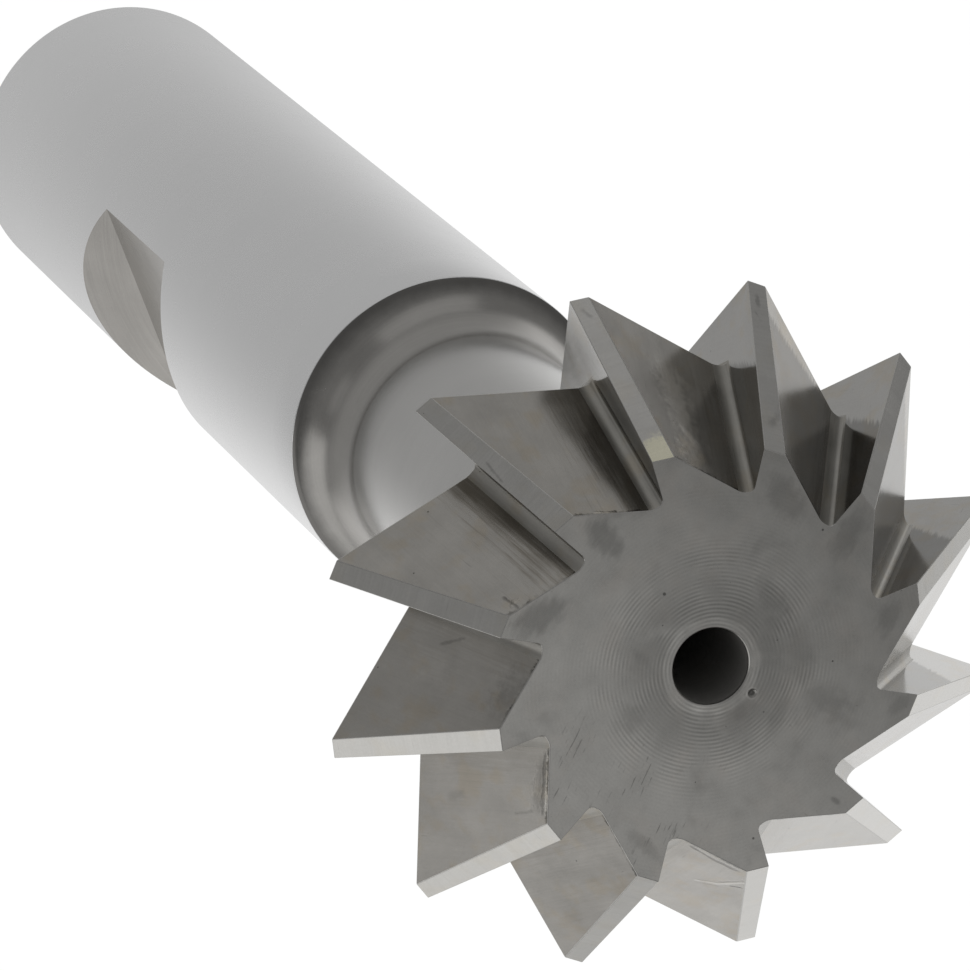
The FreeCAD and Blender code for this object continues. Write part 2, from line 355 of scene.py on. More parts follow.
class Wire:
    """A socket that carries a number, with Python's operators as Math nodes."""

    def __init__(self, graph: "Graph", socket: bpy.types.NodeSocket) -> None:
        """Wrap a node's output socket."""
        self.graph = graph
        self.socket = socket

    def __add__(self, other: "Term") -> "Wire":
        """Sum of two terms."""
        return self.graph.math("ADD", self, other)

    def __radd__(self, other: "Term") -> "Wire":
        """Sum with a number on the left."""
        return self.graph.math("ADD", other, self)

    def __sub__(self, other: "Term") -> "Wire":
        """Difference of two terms."""
        return self.graph.math("SUBTRACT", self, other)

    def __rsub__(self, other: "Term") -> "Wire":
        """Difference from a number on the left."""
        return self.graph.math("SUBTRACT", other, self)

    def __mul__(self, other: "Term") -> "Wire":
        """Product of two terms."""
        return self.graph.math("MULTIPLY", self, other)

    def __rmul__(self, other: "Term") -> "Wire":
        """Product with a number on the left."""
        return self.graph.math("MULTIPLY", other, self)

    def sine(self) -> "Wire":
        """Sine of an angle in radians."""
        return self.graph.math("SINE", self)

    def root(self) -> "Wire":
        """Square root."""
        return self.graph.math("SQRT", self)

    def most(self, other: "Term") -> "Wire":
        """Larger of two terms."""
        return self.graph.math("MAXIMUM", self, other)

    def ramp(self, start: float, end: float, low: float = 0.0, high: float = 1.0) -> "Wire":
        """Smooth step from low at start to high at end, flat beyond both."""
        return self.graph.node(
            "ShaderNodeMapRange",
            {"interpolation_type": "SMOOTHSTEP"},
            {"Value": self, "From Min": start, "From Max": end, "To Min": low, "To Max": high},
        )

    def swing(self, amount: float) -> "Wire":
        """A noise's swing about its middle: -amount at 0 and amount at 1."""
        return (self - 0.5) * (2.0 * amount)


Term = Union[Wire, float, int]


def distance(x: Wire, y: Wire) -> Wire:
    """Distance from zero: the square root of x^2 + y^2."""
    return (x * x + y * y).root()


def in_direction(x: Wire, y: Wire, degrees: float) -> Wire:
    """Distance along a direction: x cos a + y sin a."""
    a = math.radians(degrees)
    return x * math.cos(a) + y * math.sin(a)


class Graph:
    """The node tree of one material or of the world."""

    def __init__(self, tree: bpy.types.NodeTree) -> None:
        """Empty the tree and start it."""
        self.tree = tree
        tree.nodes.clear()

    def raw(
        self, kind: str, settings: Optional[dict] = None, inputs: Optional[dict] = None
    ) -> bpy.types.Node:
        """Add a node.

        Args:
            kind: Its type.
            settings: Properties of the node, which are set first.
            inputs: Values or wires by the name or number of their sockets.

        Returns:
            The node.
        """
        node = self.tree.nodes.new(kind)
        for name, value in (settings or {}).items():
            setattr(node, name, value)
        for name, value in (inputs or {}).items():
            if isinstance(value, Wire):
                self.tree.links.new(value.socket, node.inputs[name])
            else:
                node.inputs[name].default_value = value
        return node

    def node(
        self, kind: str, settings: Optional[dict] = None, inputs: Optional[dict] = None,
        output: Union[str, int] = 0,
    ) -> Wire:
        """Add a node and wrap one of its outputs, the first unless another is named."""
        return Wire(self, self.raw(kind, settings, inputs).outputs[output])

    def math(self, operation: str, *terms: Term) -> Wire:
        """Add a Math node on the terms."""
        return self.node("ShaderNodeMath", {"operation": operation}, dict(enumerate(terms)))

    def blend(self, factor: Term, first: Union[Wire, Rgb], second: Union[Wire, Rgb]) -> Wire:
        """Mix two colours.

        Args:
            factor: How much of the second there is, from 0 to 1.
            first: One colour.
            second: The other.

        Returns:
            The mixed colour.
        """
        first, second = (c if isinstance(c, Wire) else (*c, 1.0) for c in (first, second))
        inputs = {0: factor, 6: first, 7: second}
        return self.node("ShaderNodeMix", {"data_type": "RGBA"}, inputs, 2)

    def scaled(self, colour: Union[Wire, Rgb], level: Wire) -> Wire:
        """Scale a colour by a wire: 0 gives black, 1 the colour itself."""
        inputs = {0: colour, "Scale": level}
        return self.node("ShaderNodeVectorMath", {"operation": "SCALE"}, inputs)

    def vectors(self, operation: str, first: Wire, second: Union[Wire, Point]) -> Wire:
        """Add a Vector Math node.

        Args:
            operation: What it does: SUBTRACT, DOT_PRODUCT or DISTANCE.
            first: One vector.
            second: The other.

        Returns:
            The difference as a vector, and a product or distance as a number.
        """
        output = "Vector" if operation == "SUBTRACT" else "Value"
        inputs = {0: first, 1: second}
        return self.node("ShaderNodeVectorMath", {"operation": operation}, inputs, output)

    def vector(self, x: Term, y: Term, z: Term = 0.0) -> Wire:
        """Join three numbers into a vector."""
        return self.node("ShaderNodeCombineXYZ", None, {0: x, 1: y, 2: z})

    def noise(
        self, place: Wire, scale: float = 1.0, detail: float = 3.0, rough: float = 0.55
    ) -> Wire:
        """Smooth noise between 0 and 1, with its middle at about a half."""
        inputs = {"Vector": place, "Scale": scale, "Detail": detail, "Roughness": rough}
        return self.node("ShaderNodeTexNoise", None, inputs)

    def drawn(
        self, a: Term, b: Term, seed: float, detail: float = 3.0, rough: float = 0.55
    ) -> Wire:
        """Noise on two coordinates stretched beforehand; each seed has its own pattern."""
        return self.noise(self.vector(a, b, seed), 1.0, detail, rough)

    def spots(self, place: Wire, scale: float, size: float, share: float) -> Wire:
        """Small ragged spots, 1 inside and 0 outside.

        Each cell of a cell pattern has one spot at its point, but only the cells whose own
        random number is above 1 - share show it.

        Args:
            place: Position.
            scale: Cells per unit of length.
            size: Radius of a spot, in cells.
            share: Share of the cells that have a spot.

        Returns:
            The spots.
        """
        cell = self.raw("ShaderNodeTexVoronoi", None, {"Vector": place, "Scale": scale})
        tone = self.raw("ShaderNodeSeparateColor", None, {0: Wire(self, cell.outputs["Color"])})
        chosen = Wire(self, tone.outputs[0]).ramp(1.0 - share, 1.03 - share)
        reach = (Wire(self, tone.outputs[1]) * 0.6 + 0.5) * size
        ragged = self.noise(place, 3.0 * scale, 3.0).swing(0.6 * size)
        inside = reach - Wire(self, cell.outputs["Distance"]) + ragged
        return inside.ramp(0.0, 0.35 * size) * chosen

    def map(self) -> tuple[Wire, Wire]:
        """Read the cutting map.

        Returns:
            Its u and v, in millimetres.
        """
        where = self.node("ShaderNodeUVMap", {"uv_map": "cutting"})
        split = self.raw("ShaderNodeSeparateXYZ", None, {0: where})
        return Wire(self, split.outputs[0]), Wire(self, split.outputs[1])

    def place(self) -> tuple[Wire, Wire, Wire]:
        """Object coordinates x, y and z, in millimetres."""
        split = self.raw("ShaderNodeSeparateXYZ", None, {0: self.place_vector()})
        return tuple(Wire(self, split.outputs[i]) for i in range(3))

    def place_vector(self) -> Wire:
        """Read the position on the object.

        Returns:
            The position as a vector, in millimetres.
        """
        where = self.node("ShaderNodeTexCoord", None, None, "Object")
        scale = (1 / MM, 1 / MM, 1 / MM)
        return self.node("ShaderNodeMapping", None, {"Vector": where, "Scale": scale})

    def steel(
        self, colour: Union[Wire, Rgb], roughness: Term, height: Optional[Wire], depth: float,
        metallic: float = 1.0,
    ) -> None:
        """Close the tree with bare metal.

        Args:
            colour: Base colour.
            roughness: Roughness.
            height: Height of the surface from 0 to 1, or None.
            depth: What a height of 1 stands for, in metres.
            metallic: Share of the surface that is bare metal.
        """
        inputs = {"Metallic": metallic, "Roughness": roughness}
        inputs["Base Color"] = colour if isinstance(colour, Wire) else (*colour, 1.0)
        if height is not None:
            bump = {"Height": height, "Distance": depth, "Strength": 1.0}
            inputs["Normal"] = self.node("ShaderNodeBump", None, bump)
        shader = self.node("ShaderNodeBsdfPrincipled", None, inputs)
        self.raw("ShaderNodeOutputMaterial", None, {"Surface": shader})


def new_material(name: str) -> tuple[bpy.types.Material, Graph]:
    """Start a material.

    Args:
        name: Its name.

    Returns:
        The material and its empty tree.
    """
    material = bpy.data.materials.new(name)
    material.use_nodes = True
    return material, Graph(material.node_tree)


# Finishes ---------------------------------------------------------------------------


@dataclass(frozen=True)
class ScarAndShadow:
    """One straight mark of damage, with painted light: burrs stand up bright, partly by a painted
    highlight, nicks and grooves are dark, and dark marks beside raised ones are painted shadows.

    Attributes:
        start: One end, in millimetres in the row frame.
        end: The other end.
        width: Half of its width, in millimetres.
        tone: Change of brightness in its middle: above zero for burrs, partly a painted highlight,
            and below zero for nicks, grooves and painted shadows.
        relief: Its height or depth, in depths of the lines; 0 for a stain.
    """

    start: Point
    end: Point
    width: float
    tone: float
    relief: float = 20.0

    def mark(self, g: Graph, place: Wire, ragged: Wire) -> Wire:
        """Mask of the scar.

        With v the position from its start, t = v . direction runs along it, and the
        distance to it is the square root of v . v - t^2.

        Args:
            g: The material's tree.
            place: Position as a vector, in millimetres.
            ragged: Noise about zero that frays its outline.

        Returns:
            The mask: 1 along its middle and 0 beside it.
        """
        line = Vector(self.end) - Vector(self.start)
        v = g.vectors("SUBTRACT", place, self.start)
        t = g.vectors("DOT_PRODUCT", v, tuple(line.normalized()))
        far = g.vectors("DOT_PRODUCT", v, v)
        beside = (far - t * t).most(0.0).root() + ragged * (2.4 * self.width)
        first, last = -self.width, line.length + self.width
        ends = t.ramp(first, self.width) * t.ramp(last, line.length - self.width)
        return beside.ramp(self.width * 1.25, 0.0) * ends


@dataclass(frozen=True)
class Stain:
    """A dark stain on the end face: an ellipse with a ragged outline.

    Attributes:
        x: Its middle along x, in millimetres in the row frame.
        y: Its middle along y.
        length: Half of its length.
        width: Half of its width.
        angle: Direction of its length, in degrees.
        dark: Darkness in its middle.
    """

    x: float
    y: float
    length: float
    width: float
    angle: float
    dark: float

    def mark(self, x: Wire, y: Wire, ragged: Wire) -> Wire:
        """Darkness of the stain over the face.

        With a and b the position along and across it, over its half length and half
        width, it fades with the square root of a^2 + b^2.

        Args:
            x: Position along x, in millimetres.
            y: Position along y, in millimetres.
            ragged: Noise about zero that frays its outline.

        Returns:
            The darkness, 0 outside the stain.
        """
        dx, dy = x - self.x, y - self.y
        a = in_direction(dx, dy, self.angle) * (1 / self.length)
        b = in_direction(dx, dy, self.angle + 90.0) * (1 / self.width)
        return (distance(a, b) + ragged).ramp(1.2, 0.4, 0.0, self.dark)


@dataclass(frozen=True)
class CutSteel:
    """Steel cut or ground in one direction: fine lines, smears by the root, pits, stains, and
    painted shade, shadows and highlights.

    Attributes:
        name: Material's name.
        colour: Colour of the clean metal.
        roughness: Its roughness.
        lines: Fine lines per millimetre.
        contrast: How much the lines change the brightness.
        cloud: How much soft patches change it.
        depth: Depth of the lines, in metres.
        smear: Darkness of the ragged smears along the root, 0 for none.
        smear_width: How far they reach up from the root, in millimetres.
        pits: Share of the small cells that hold a dark pit.
        burr_shadow: Darkness of the painted shadow of burrs, a ragged line along the end face, 0
            for none.
        gullet_shade: Darkness of the painted shade low in the gullet, in front of the tip plane, 0
            for none.
        gullet_shade_lean: How far its border runs along the feed for each millimetre across.
        gullet_shade_teeth: Map positions u between which that painted shade falls.
        crosswise: Whether the lines run across the surface and not along the feed.
        warm: Tint of the brownish patches.
        calm: Map positions u between which the smears are fainter, and by how much.
        scars_and_shadows: Damage of single teeth, with painted highlights on burrs and painted
            shadows beside them.
        cream: Middle of a patch of dried cream-coloured oil, or None.
        cream_colour: Colour of that patch.
        cream_reach: Distances from its middle at which it has faded and is full.
    """

    name: str
    colour: Rgb
    roughness: float
    lines: float = 9.0
    contrast: float = 0.10
    cloud: float = 0.12
    depth: float = 0.8e-6
    smear: float = 0.0
    smear_width: float = 3.0
    pits: float = 0.05
    burr_shadow: float = 0.0
    gullet_shade: float = 0.0
    gullet_shade_lean: float = 0.0
    gullet_shade_teeth: tuple[float, float] = (0.0, 1300.0)
    crosswise: bool = False
    warm: Rgb = (1.0, 0.93, 0.82)
    calm: tuple[tuple[float, float, float], ...] = ((250.0, 950.0, 0.75), (1150.0, 1250.0, 0.5))
    scars_and_shadows: tuple[ScarAndShadow, ...] = ()
    cream: Optional[Point] = None
    cream_colour: Rgb = (0.86, 0.83, 0.66)
    cream_reach: tuple[float, float] = (1.9, 1.2)

    def material(self) -> bpy.types.Material:
        """Build the material.

        Its brightness is 1 plus the swings of the fine and wide lines, the patches and the
        grit, times 1 minus each dark mark and each painted shade and shadow, and the colour
        is scaled by it.

        Returns:
            The material.
        """
        material, g = new_material(self.name)
        u, v = g.map()
        along, across = (v, u) if self.crosswise else (u, v)
        flat, place = g.vector(u, v), g.place_vector()
        fine = g.drawn(along * 0.25, across * self.lines, 0.0, 5.0, 0.65)
        wide = g.drawn(along * 0.12, across * 1.3, 3.0)
        patch = g.noise(g.vector(u, v, 7.0), 0.33)
        grit = g.noise(flat, 5.0, 4.0, 0.6)
        level = 1.0 + fine.swing(self.contrast) + wide.swing(0.5 * self.contrast)
        level = level + patch.swing(self.cloud) + grit.swing(0.07)
        scratch = g.drawn(along * 0.30, across * 5.0, 11.0, 1.0).ramp(0.735, 0.80)
        pit = g.spots(flat, 0.55, 0.10, self.pits * 3).most(g.spots(flat, 1.7, 0.12, self.pits))
        level = level * (1.0 - scratch * 0.22) * (1.0 - pit * 0.75)
        height = fine - pit * 12.0
        warmth = g.noise(g.vector(u, v, 19.0), 0.5, 2.0).ramp(0.48, 0.70) * 0.6
        if self.smear:
            smear = self.smears(g, u, v)
            level = level * (1.0 - smear * self.smear)
            warmth = warmth.most(smear * 0.7)
        # Painted shadow of burrs along the end face.
        if self.burr_shadow:
            level = level * (1.0 - self.burr_shadow_line(g, u, v) * self.burr_shadow)
        # Painted shade low in the gullet, in front of the tip plane.
        if self.gullet_shade:
            level = level * (1.0 - self.gullet_shade_mask(g, u, v) * self.gullet_shade)
        ragged = g.noise(place, 1.8, 4.0, 0.65) - 0.5
        # Scars: raised ones also carry a painted highlight, and dark ones beside them are painted
        # shadows.
        for scar in self.scars_and_shadows:
            mark = scar.mark(g, place, ragged)
            level = level * (mark * scar.tone + 1.0)
            height = height + mark * math.copysign(scar.relief, scar.tone)
        tint = g.blend(warmth, self.colour, tuple(a * b for a, b in zip(self.colour, self.warm)))
        if self.cream:
            offset = g.vectors("DISTANCE", place, self.cream) + ragged * 1.6
            tint = g.blend(offset.ramp(*self.cream_reach), tint, self.cream_colour)
        colour = g.scaled(tint, level.most(0.04))
        rough = self.roughness + fine.swing(0.04) + patch.swing(0.05) + pit * 0.2
        g.steel(colour, rough.most(0.06), height, self.depth)
        return material

    def smears(self, g: Graph, u: Wire, v: Wire) -> Wire:
        """Dark streaks along the feed: dense at the root, with fewer beyond, faint on calm teeth.

        The root's edge is where v, swung by noise drawn out along u, passes the smears'
        width. Single streaks reach further up.

        Args:
            g: The material's tree.
            u: Position along the feed, in millimetres.
            v: Position up from the root, in millimetres.

        Returns:
            The smears, 1 where they are full and 0 where the metal is clean.
        """
        width = self.smear_width
        streak = g.drawn(u * 0.16, v * 3.2, 1.0, 6.0, 0.7).swing(1.3 * width)
        drift = g.drawn(u * 0.2, v * 0.3, 4.0, 2.0).swing(0.5 * width)
        fray = g.drawn(u * 0.45, v * 7.0, 5.0, 4.0, 0.7).swing(0.5 * width)
        dark = (v + streak + drift + fray).ramp(width * 1.15, width * 0.1)
        gaps = g.drawn(u * 0.1, v * 6.0, 8.0, 3.0, 0.6).ramp(0.52, 0.66)
        stray = g.drawn(u * 0.14, v * 4.5, 2.0, 5.0, 0.7).ramp(0.54, 0.68)
        stray = stray * v.ramp(width * 2.6, width * 0.8) * 0.55
        dark = (dark * (1.0 - gaps * 0.45)).most(stray)
        for low, high, share in self.calm:
            dark = dark * (1.0 - u.ramp(low, low + 10.0) * u.ramp(high, high - 10.0) * share)
        return dark

    def gullet_shade_mask(self, g: Graph, u: Wire, v: Wire) -> Wire:
        """Painted shade where a front face lies low in its gullet: past the map's zero along the
        feed.

        The map's u starts at a whole number of steps for each tooth, so the distance along
        the feed is (u + step / 2) modulo step - step / 2. Rear faces are below the tip plane
        and get no painted shade.

        Args:
            g: The material's tree.
            u: Position along the feed, in millimetres.
            v: Position up from the root, in millimetres.

        Returns:
            The mask: 1 in the painted shade and 0 elsewhere.
        """
        _, _, z = g.place()
        low, high = self.gullet_shade_teeth
        streak = g.drawn(u * 0.2, v * 5.0, 6.0, 5.0, 0.65).swing(1.2)
        half = 0.5 * TOOTH_STEP
        s = g.math("MODULO", u + half, TOOTH_STEP) - half - v * self.gullet_shade_lean + streak
        front = s.ramp(-0.3, 0.4) * z.ramp(TIP_HEIGHT - 0.1, TIP_HEIGHT + 0.2)
        return front * u.ramp(low, low + 5.0) * u.ramp(high, high - 5.0)

    def burr_shadow_line(self, g: Graph, u: Wire, v: Wire) -> Wire:
        """The painted shadow of burrs: a broken dark line within half a millimetre of the end
        face.

        Args:
            g: The material's tree.
            u: Position along the feed, in millimetres.
            v: Position up from the root, in millimetres.

        Returns:
            The line, 1 where it is dark and 0 beyond it.
        """
        _, _, z = g.place()
        rough = g.noise(g.vector(u, v, 13.0), 2.4, 4.0, 0.7)
        broken = g.noise(g.vector(u, v, 15.0), 0.7, 2.0).ramp(0.38, 0.60, 0.15, 1.0)
        return ((rough - 0.22) * 0.72 - (END_HEIGHT - z)).ramp(0.0, 0.12) * broken


@dataclass(frozen=True)
class FacedSteel:
    """The turned end face: rings about the bore, scratches, smudges and a warm grey tone, with a
    painted sheen brighter on one side and painted shade and highlight at the hardness mark.

    Attributes:
        name: Material's name.
        colour: Colour of the clean metal.
        roughness: Its roughness.
        pitch: Distance from ring to ring, in millimetres.
        ring_radius: Radius at which the rings have faded.
        sheen_side: Direction of the side that is painted brighter, a painted sheen, in degrees.
        worn: Middle of the scratched part, in millimetres.
        scratch_angle: Direction of the scratches, in degrees.
        dent: Place of the hardness mark, in millimetres.
        depth: What a height of 1 stands for, in metres.
        stains: Stains at the base of single teeth.
    """

    name: str = "faced_steel"
    colour: Rgb = (0.47, 0.455, 0.428)
    roughness: float = 0.30
    pitch: float = 0.289
    ring_radius: float = 10.2
    sheen_side: float = 117.0
    worn: tuple[float, float] = (-6.0, 8.5)
    scratch_angle: float = 137.0
    dent: tuple[float, float] = (-3.031, -2.292)
    depth: float = 6.0e-6
    stains: tuple[Stain, ...] = ()

    def material(self) -> bpy.types.Material:
        """Build the material. A ring's height is the sine of 2 pi r over the feed.

        Returns:
            The material.
        """
        material, g = new_material(self.name)
        x, y, _ = g.place()
        radius = distance(x, y)
        where = g.vector(x, y)
        wave = ((radius + g.noise(where, 0.5, 2.0) * 0.06) * (2 * math.pi / self.pitch)).sine()
        reach = radius.ramp(self.ring_radius, self.ring_radius * 0.62) * 0.9 + 0.1
        strength = reach * (g.noise(where, 0.34, 3.0).ramp(0.40, 0.62) * 0.9 + 0.1)
        grain = g.noise(where, 6.0, 5.0, 0.65)
        cloud = g.noise(where, 0.30, 4.0, 0.6)
        # Painted sheen: the face is painted brighter towards one side and darker towards the
        # other.
        side = in_direction(x, y, self.sheen_side).ramp(-17.0, 14.0, 0.76, 1.24)
        level = 1.0 + wave * strength * 0.20 + grain.swing(0.16) + cloud.swing(0.30)
        dull = radius.ramp(8.0, 4.2) * g.noise(g.vector(x, y, 3.0), 0.35, 3.0).ramp(0.15, 0.52)
        rim = (radius + g.noise(where, 0.25, 1.0) * 1.2).ramp(4.35, 4.05)
        level = level * side * (1.0 - dull * 0.24) * (rim * 0.24 + 1.0)
        marks = self.scratches(g, x, y, self.scratch_angle, 0.61)
        marks = marks * self.near(x, y, self.worn, 9.5, 4.0)
        marks = marks.most(self.scratches(g, x, y, self.scratch_angle + 71.0, 0.72) * 0.5)
        pit = g.spots(where, 0.45, 0.07, 0.25).most(g.spots(where, 1.3, 0.10, 0.05))
        smudge = g.noise(g.vector(x, y, 5.0), 0.25, 3.0).ramp(0.56, 0.72)
        level = level * (1.0 - marks * 0.42) * (1.0 - pit * 0.6) * (1.0 - smudge * 0.10)
        ragged = self.streaks(g, x, y) - 0.5 + (g.noise(g.vector(x, y, 21.0), 0.9, 4.0, 0.6) - 0.5)
        for stain in self.stains:
            level = level * (1.0 - stain.mark(x, y, ragged))
        # Painted shade in the hardness mark's hollow, and a painted highlight on the lip round it,
        # which the bump also raises.
        lip = 1.0 - self.near(x, y, self.dent, 0.40, 0.28)
        lip = self.near(x, y, self.dent, 0.60, 0.42) * lip
        level = level * (1.0 - self.near(x, y, self.dent, 0.26, 0.16) * 0.55) * (lip * 0.20 + 1.0)
        warmth = g.noise(g.vector(x, y, 9.0), 0.4, 2.0).ramp(0.45, 0.75)
        cool = tuple(a * b for a, b in zip(self.colour, (0.97, 0.985, 0.995)))
        colour = g.scaled(g.blend(warmth, cool, self.colour), level.most(0.06))
        rough = self.roughness + grain.swing(0.08) + cloud.swing(0.07) + smudge * 0.1
        height = wave * strength * 0.40 + grain * 0.35 - marks - pit * 3.0 + lip * 3.0
        g.steel(colour, rough.most(0.1), height, self.depth)
        return material

    def streaks(self, g: Graph, x: Wire, y: Wire) -> Wire:
        """Noise drawn out along the direction of the scratches."""
        along, across = (in_direction(x, y, self.scratch_angle + a) for a in (0.0, 90.0))
        return g.drawn(along * 0.5, across * 2.2, 31.0, 4.0, 0.6)

    def near(
        self, x: Wire, y: Wire, middle: tuple[float, float], outer: float, inner: float
    ) -> Wire:
        """Smooth disc: 1 within the inner radius of a point and 0 beyond the outer."""
        return distance(x - middle[0], y - middle[1]).ramp(outer, inner)

    def scratches(self, g: Graph, x: Wire, y: Wire, angle: float, rarity: float) -> Wire:
        """Short thin scratches along one direction, in patches.

        Args:
            g: The material's tree.
            x: Position along x, in millimetres.
            y: Position along y, in millimetres.
            angle: Direction of the scratches, in degrees.
            rarity: Noise level above which there is a scratch.

        Returns:
            The scratches, 1 in their middle and 0 beside them.
        """
        along, across = (in_direction(x, y, angle + a) for a in (0.0, 90.0))
        thin = g.drawn(along * 0.55, across * 6.0, angle, 2.0, 0.6)
        patch = g.noise(g.vector(x, y, angle), 0.22, 3.0).ramp(0.46, 0.62)
        return thin.ramp(rarity, rarity + 0.06) * patch


@dataclass(frozen=True)
class RoundSteel:
    """Steel worked in the round, such as the satin shank: specks and faint lines about Z.

    Attributes:
        name: Material's name.
        colour: Colour of the clean metal.
        roughness: Its roughness.
        grain: How much fine specks change the brightness.
        rings: How much lines about Z change it.
        cloud: How much soft patches change it.
        depth: Height of the texture, in metres.
        pits: Share of the cells that hold a dark pit.
        dark_radius: Radius from which the colour grows darker outwards, to about half, or zero.
        metallic: Share of the surface that is bare and not under dry oil.
    """

    name: str
    colour: Rgb
    roughness: float
    grain: float = 0.1
    rings: float = 0.05
    cloud: float = 0.1
    depth: float = 0.4e-6
    pits: float = 0.0
    dark_radius: float = 0.0
    metallic: float = 1.0

    def material(self) -> bpy.types.Material:
        """Build the material. The lines about Z are noise drawn out in x and y.

        Returns:
            The material.
        """
        material, g = new_material(self.name)
        x, y, z = g.place()
        where = g.place_vector()
        specks = g.noise(where, 6.0, 4.0, 0.7)
        radius = distance(x, y)
        lines = g.noise(g.vector(x * 0.1, y * 0.1, (z - radius) * 4.0), 1.0, 4.0, 0.6)
        patch = g.noise(where, 0.22, 3.0, 0.5)
        level = 1.0 + specks.swing(self.grain) + lines.swing(self.rings) + patch.swing(self.cloud)
        if self.pits:
            pit = g.spots(where, 0.5, 0.09, self.pits)
            level = level * (1.0 - pit * 0.6)
        if self.dark_radius:
            ragged = radius + g.noise(where, 0.8).swing(0.25)
            level = level * ragged.ramp(self.dark_radius, self.dark_radius + 1.3, 1.0, 0.52)
        colour = g.scaled(self.colour, level.most(0.05))
        rough = self.roughness + specks.swing(0.05) + patch.swing(0.04)
        g.steel(colour, rough, lines * 0.5 + patch * 0.5, self.depth, self.metallic)
        return material


BACK_SCARS_AND_SHADOWS = (
    # Two raised ridges, bright partly by a painted highlight.
    ScarAndShadow((-16.74, 4.34, 144.98), (-17.26, 3.05, 145.92), 0.17, 0.36),
    ScarAndShadow((-17.26, 3.05, 145.92), (-17.10, 1.65, 147.69), 0.19, 0.36),
    # Painted shadows beside the two ridges above.
    ScarAndShadow((-16.98, 4.20, 144.80), (-17.50, 2.95, 145.60), 0.10, -0.25),
    ScarAndShadow((-17.02, 3.00, 146.30), (-16.86, 1.75, 147.95), 0.13, -0.16),
    ScarAndShadow((-17.52, 2.38, 146.43), (-17.78, 1.70, 146.93), 0.11, -0.50),
    ScarAndShadow((-12.23, 4.94, 148.92), (-13.92, 3.63, 148.68), 0.20, -0.42),
    ScarAndShadow((-13.92, 3.63, 148.68), (-15.60, 2.00, 148.70), 0.22, -0.38),
    ScarAndShadow((-12.60, 4.75, 148.45), (-14.40, 3.35, 148.10), 0.16, 0.14),
    ScarAndShadow((-0.98, 13.71, 147.56), (-0.68, 13.10, 148.45), 0.12, 0.22),
    ScarAndShadow((-1.57, 12.90, 149.05), (-5.70, 14.30, 149.00), 0.26, 0.24, 30.0),
    # Painted shadow beside the ridge above, with a shallow groove in the bump.
    ScarAndShadow((-2.00, 13.30, 148.60), (-5.50, 14.65, 148.40), 0.55, -0.22, 8.0),
    ScarAndShadow((-5.07, 18.94, 141.88), (-4.64, 18.05, 142.97), 0.40, -0.14, 2.0),
    ScarAndShadow((-5.83, 15.84, 146.77), (-5.59, 14.86, 148.09), 0.16, -0.18, 4.0),
    ScarAndShadow((4.60, 12.20, 148.80), (2.00, 15.50, 148.60), 1.70, -0.26, 0.0),
    ScarAndShadow((6.42, 16.49, 142.85), (6.68, 14.96, 144.11), 0.14, -0.26, 8.0),
    ScarAndShadow((6.00, 17.60, 142.60), (4.40, 17.80, 144.40), 1.60, 0.10, 0.0),
    ScarAndShadow((19.30, -4.70, 142.00), (14.50, -3.40, 148.90), 1.50, 0.55, 0.0),
    ScarAndShadow((16.60, -3.40, 146.10), (14.90, -3.90, 147.30), 0.40, 0.22, 4.0),
    ScarAndShadow((15.40, -4.60, 146.40), (13.70, -4.20, 148.50), 0.40, -0.28, 6.0),
    ScarAndShadow((10.15, 12.47, 147.92), (9.46, 11.89, 149.10), 0.13, -0.34),
    ScarAndShadow((10.60, 10.90, 148.60), (9.40, 12.40, 148.70), 0.24, 0.12, 24.0),
    ScarAndShadow((13.95, 4.91, 149.05), (13.39, 3.38, 149.10), 0.10, 0.45),
)
STAINS = (
    Stain(12.1, 4.75, 2.1, 1.05, 24.0, 0.30),
    Stain(8.35, 10.6, 2.3, 1.25, -84.0, 0.28),
    Stain(9.7, -8.5, 2.3, 1.3, 14.0, 0.20),
    Stain(5.4, -12.1, 2.3, 1.1, -50.0, 0.22),
    Stain(-1.5, -13.3, 1.6, 0.9, -38.0, 0.20),
    Stain(-8.1, -12.3, 1.2, 0.6, -70.0, 0.16),
    Stain(-10.7, 8.2, 1.8, 0.6, 26.0, 0.18),
    Stain(-13.1, -5.9, 0.5, 0.25, 30.0, 0.30),
    Stain(-1.5, -6.5, 3.4, 1.0, 175.0, 0.10),
    Stain(3.2, -5.6, 1.8, 0.9, 20.0, 0.12),
    Stain(-5.4, -3.6, 1.9, 0.7, 140.0, 0.14),
)
LAND_MARKS = (
    ScarAndShadow((14.90, -10.90, 145.80), (14.50, -9.20, 147.70), 0.42, -0.24, 0.0),
    ScarAndShadow((21.00, -12.85, 140.40), (20.40, -12.60, 141.10), 0.22, -0.30, 3.0),
    ScarAndShadow((20.30, -12.10, 141.30), (19.40, -12.20, 141.90), 0.10, -0.30, 3.0),
    ScarAndShadow((18.33, 9.96, 144.15), (17.07, 9.60, 145.48), 0.12, -0.28, 2.0),
    ScarAndShadow((24.70, -0.50, 140.25), (24.10, -0.95, 140.90), 0.18, -0.22, 3.0),
)
LAND = CutSteel(
    "ground_land", (0.59, 0.58, 0.555), 0.22, lines=5.0, contrast=0.10, cloud=0.09, depth=0.3e-6,
    pits=0.02, crosswise=True, warm=(1.0, 0.975, 0.93), scars_and_shadows=LAND_MARKS,
    cream=(16.1, -1.1, 149.1),
)
BACK = CutSteel(
    "milled_back", (0.37, 0.357, 0.333), 0.22, lines=7.0, contrast=0.10, cloud=0.25,
    smear=0.46, smear_width=2.4, burr_shadow=0.62, gullet_shade=0.42, gullet_shade_teeth=(950.0, 1150.0), scars_and_shadows=BACK_SCARS_AND_SHADOWS,
)
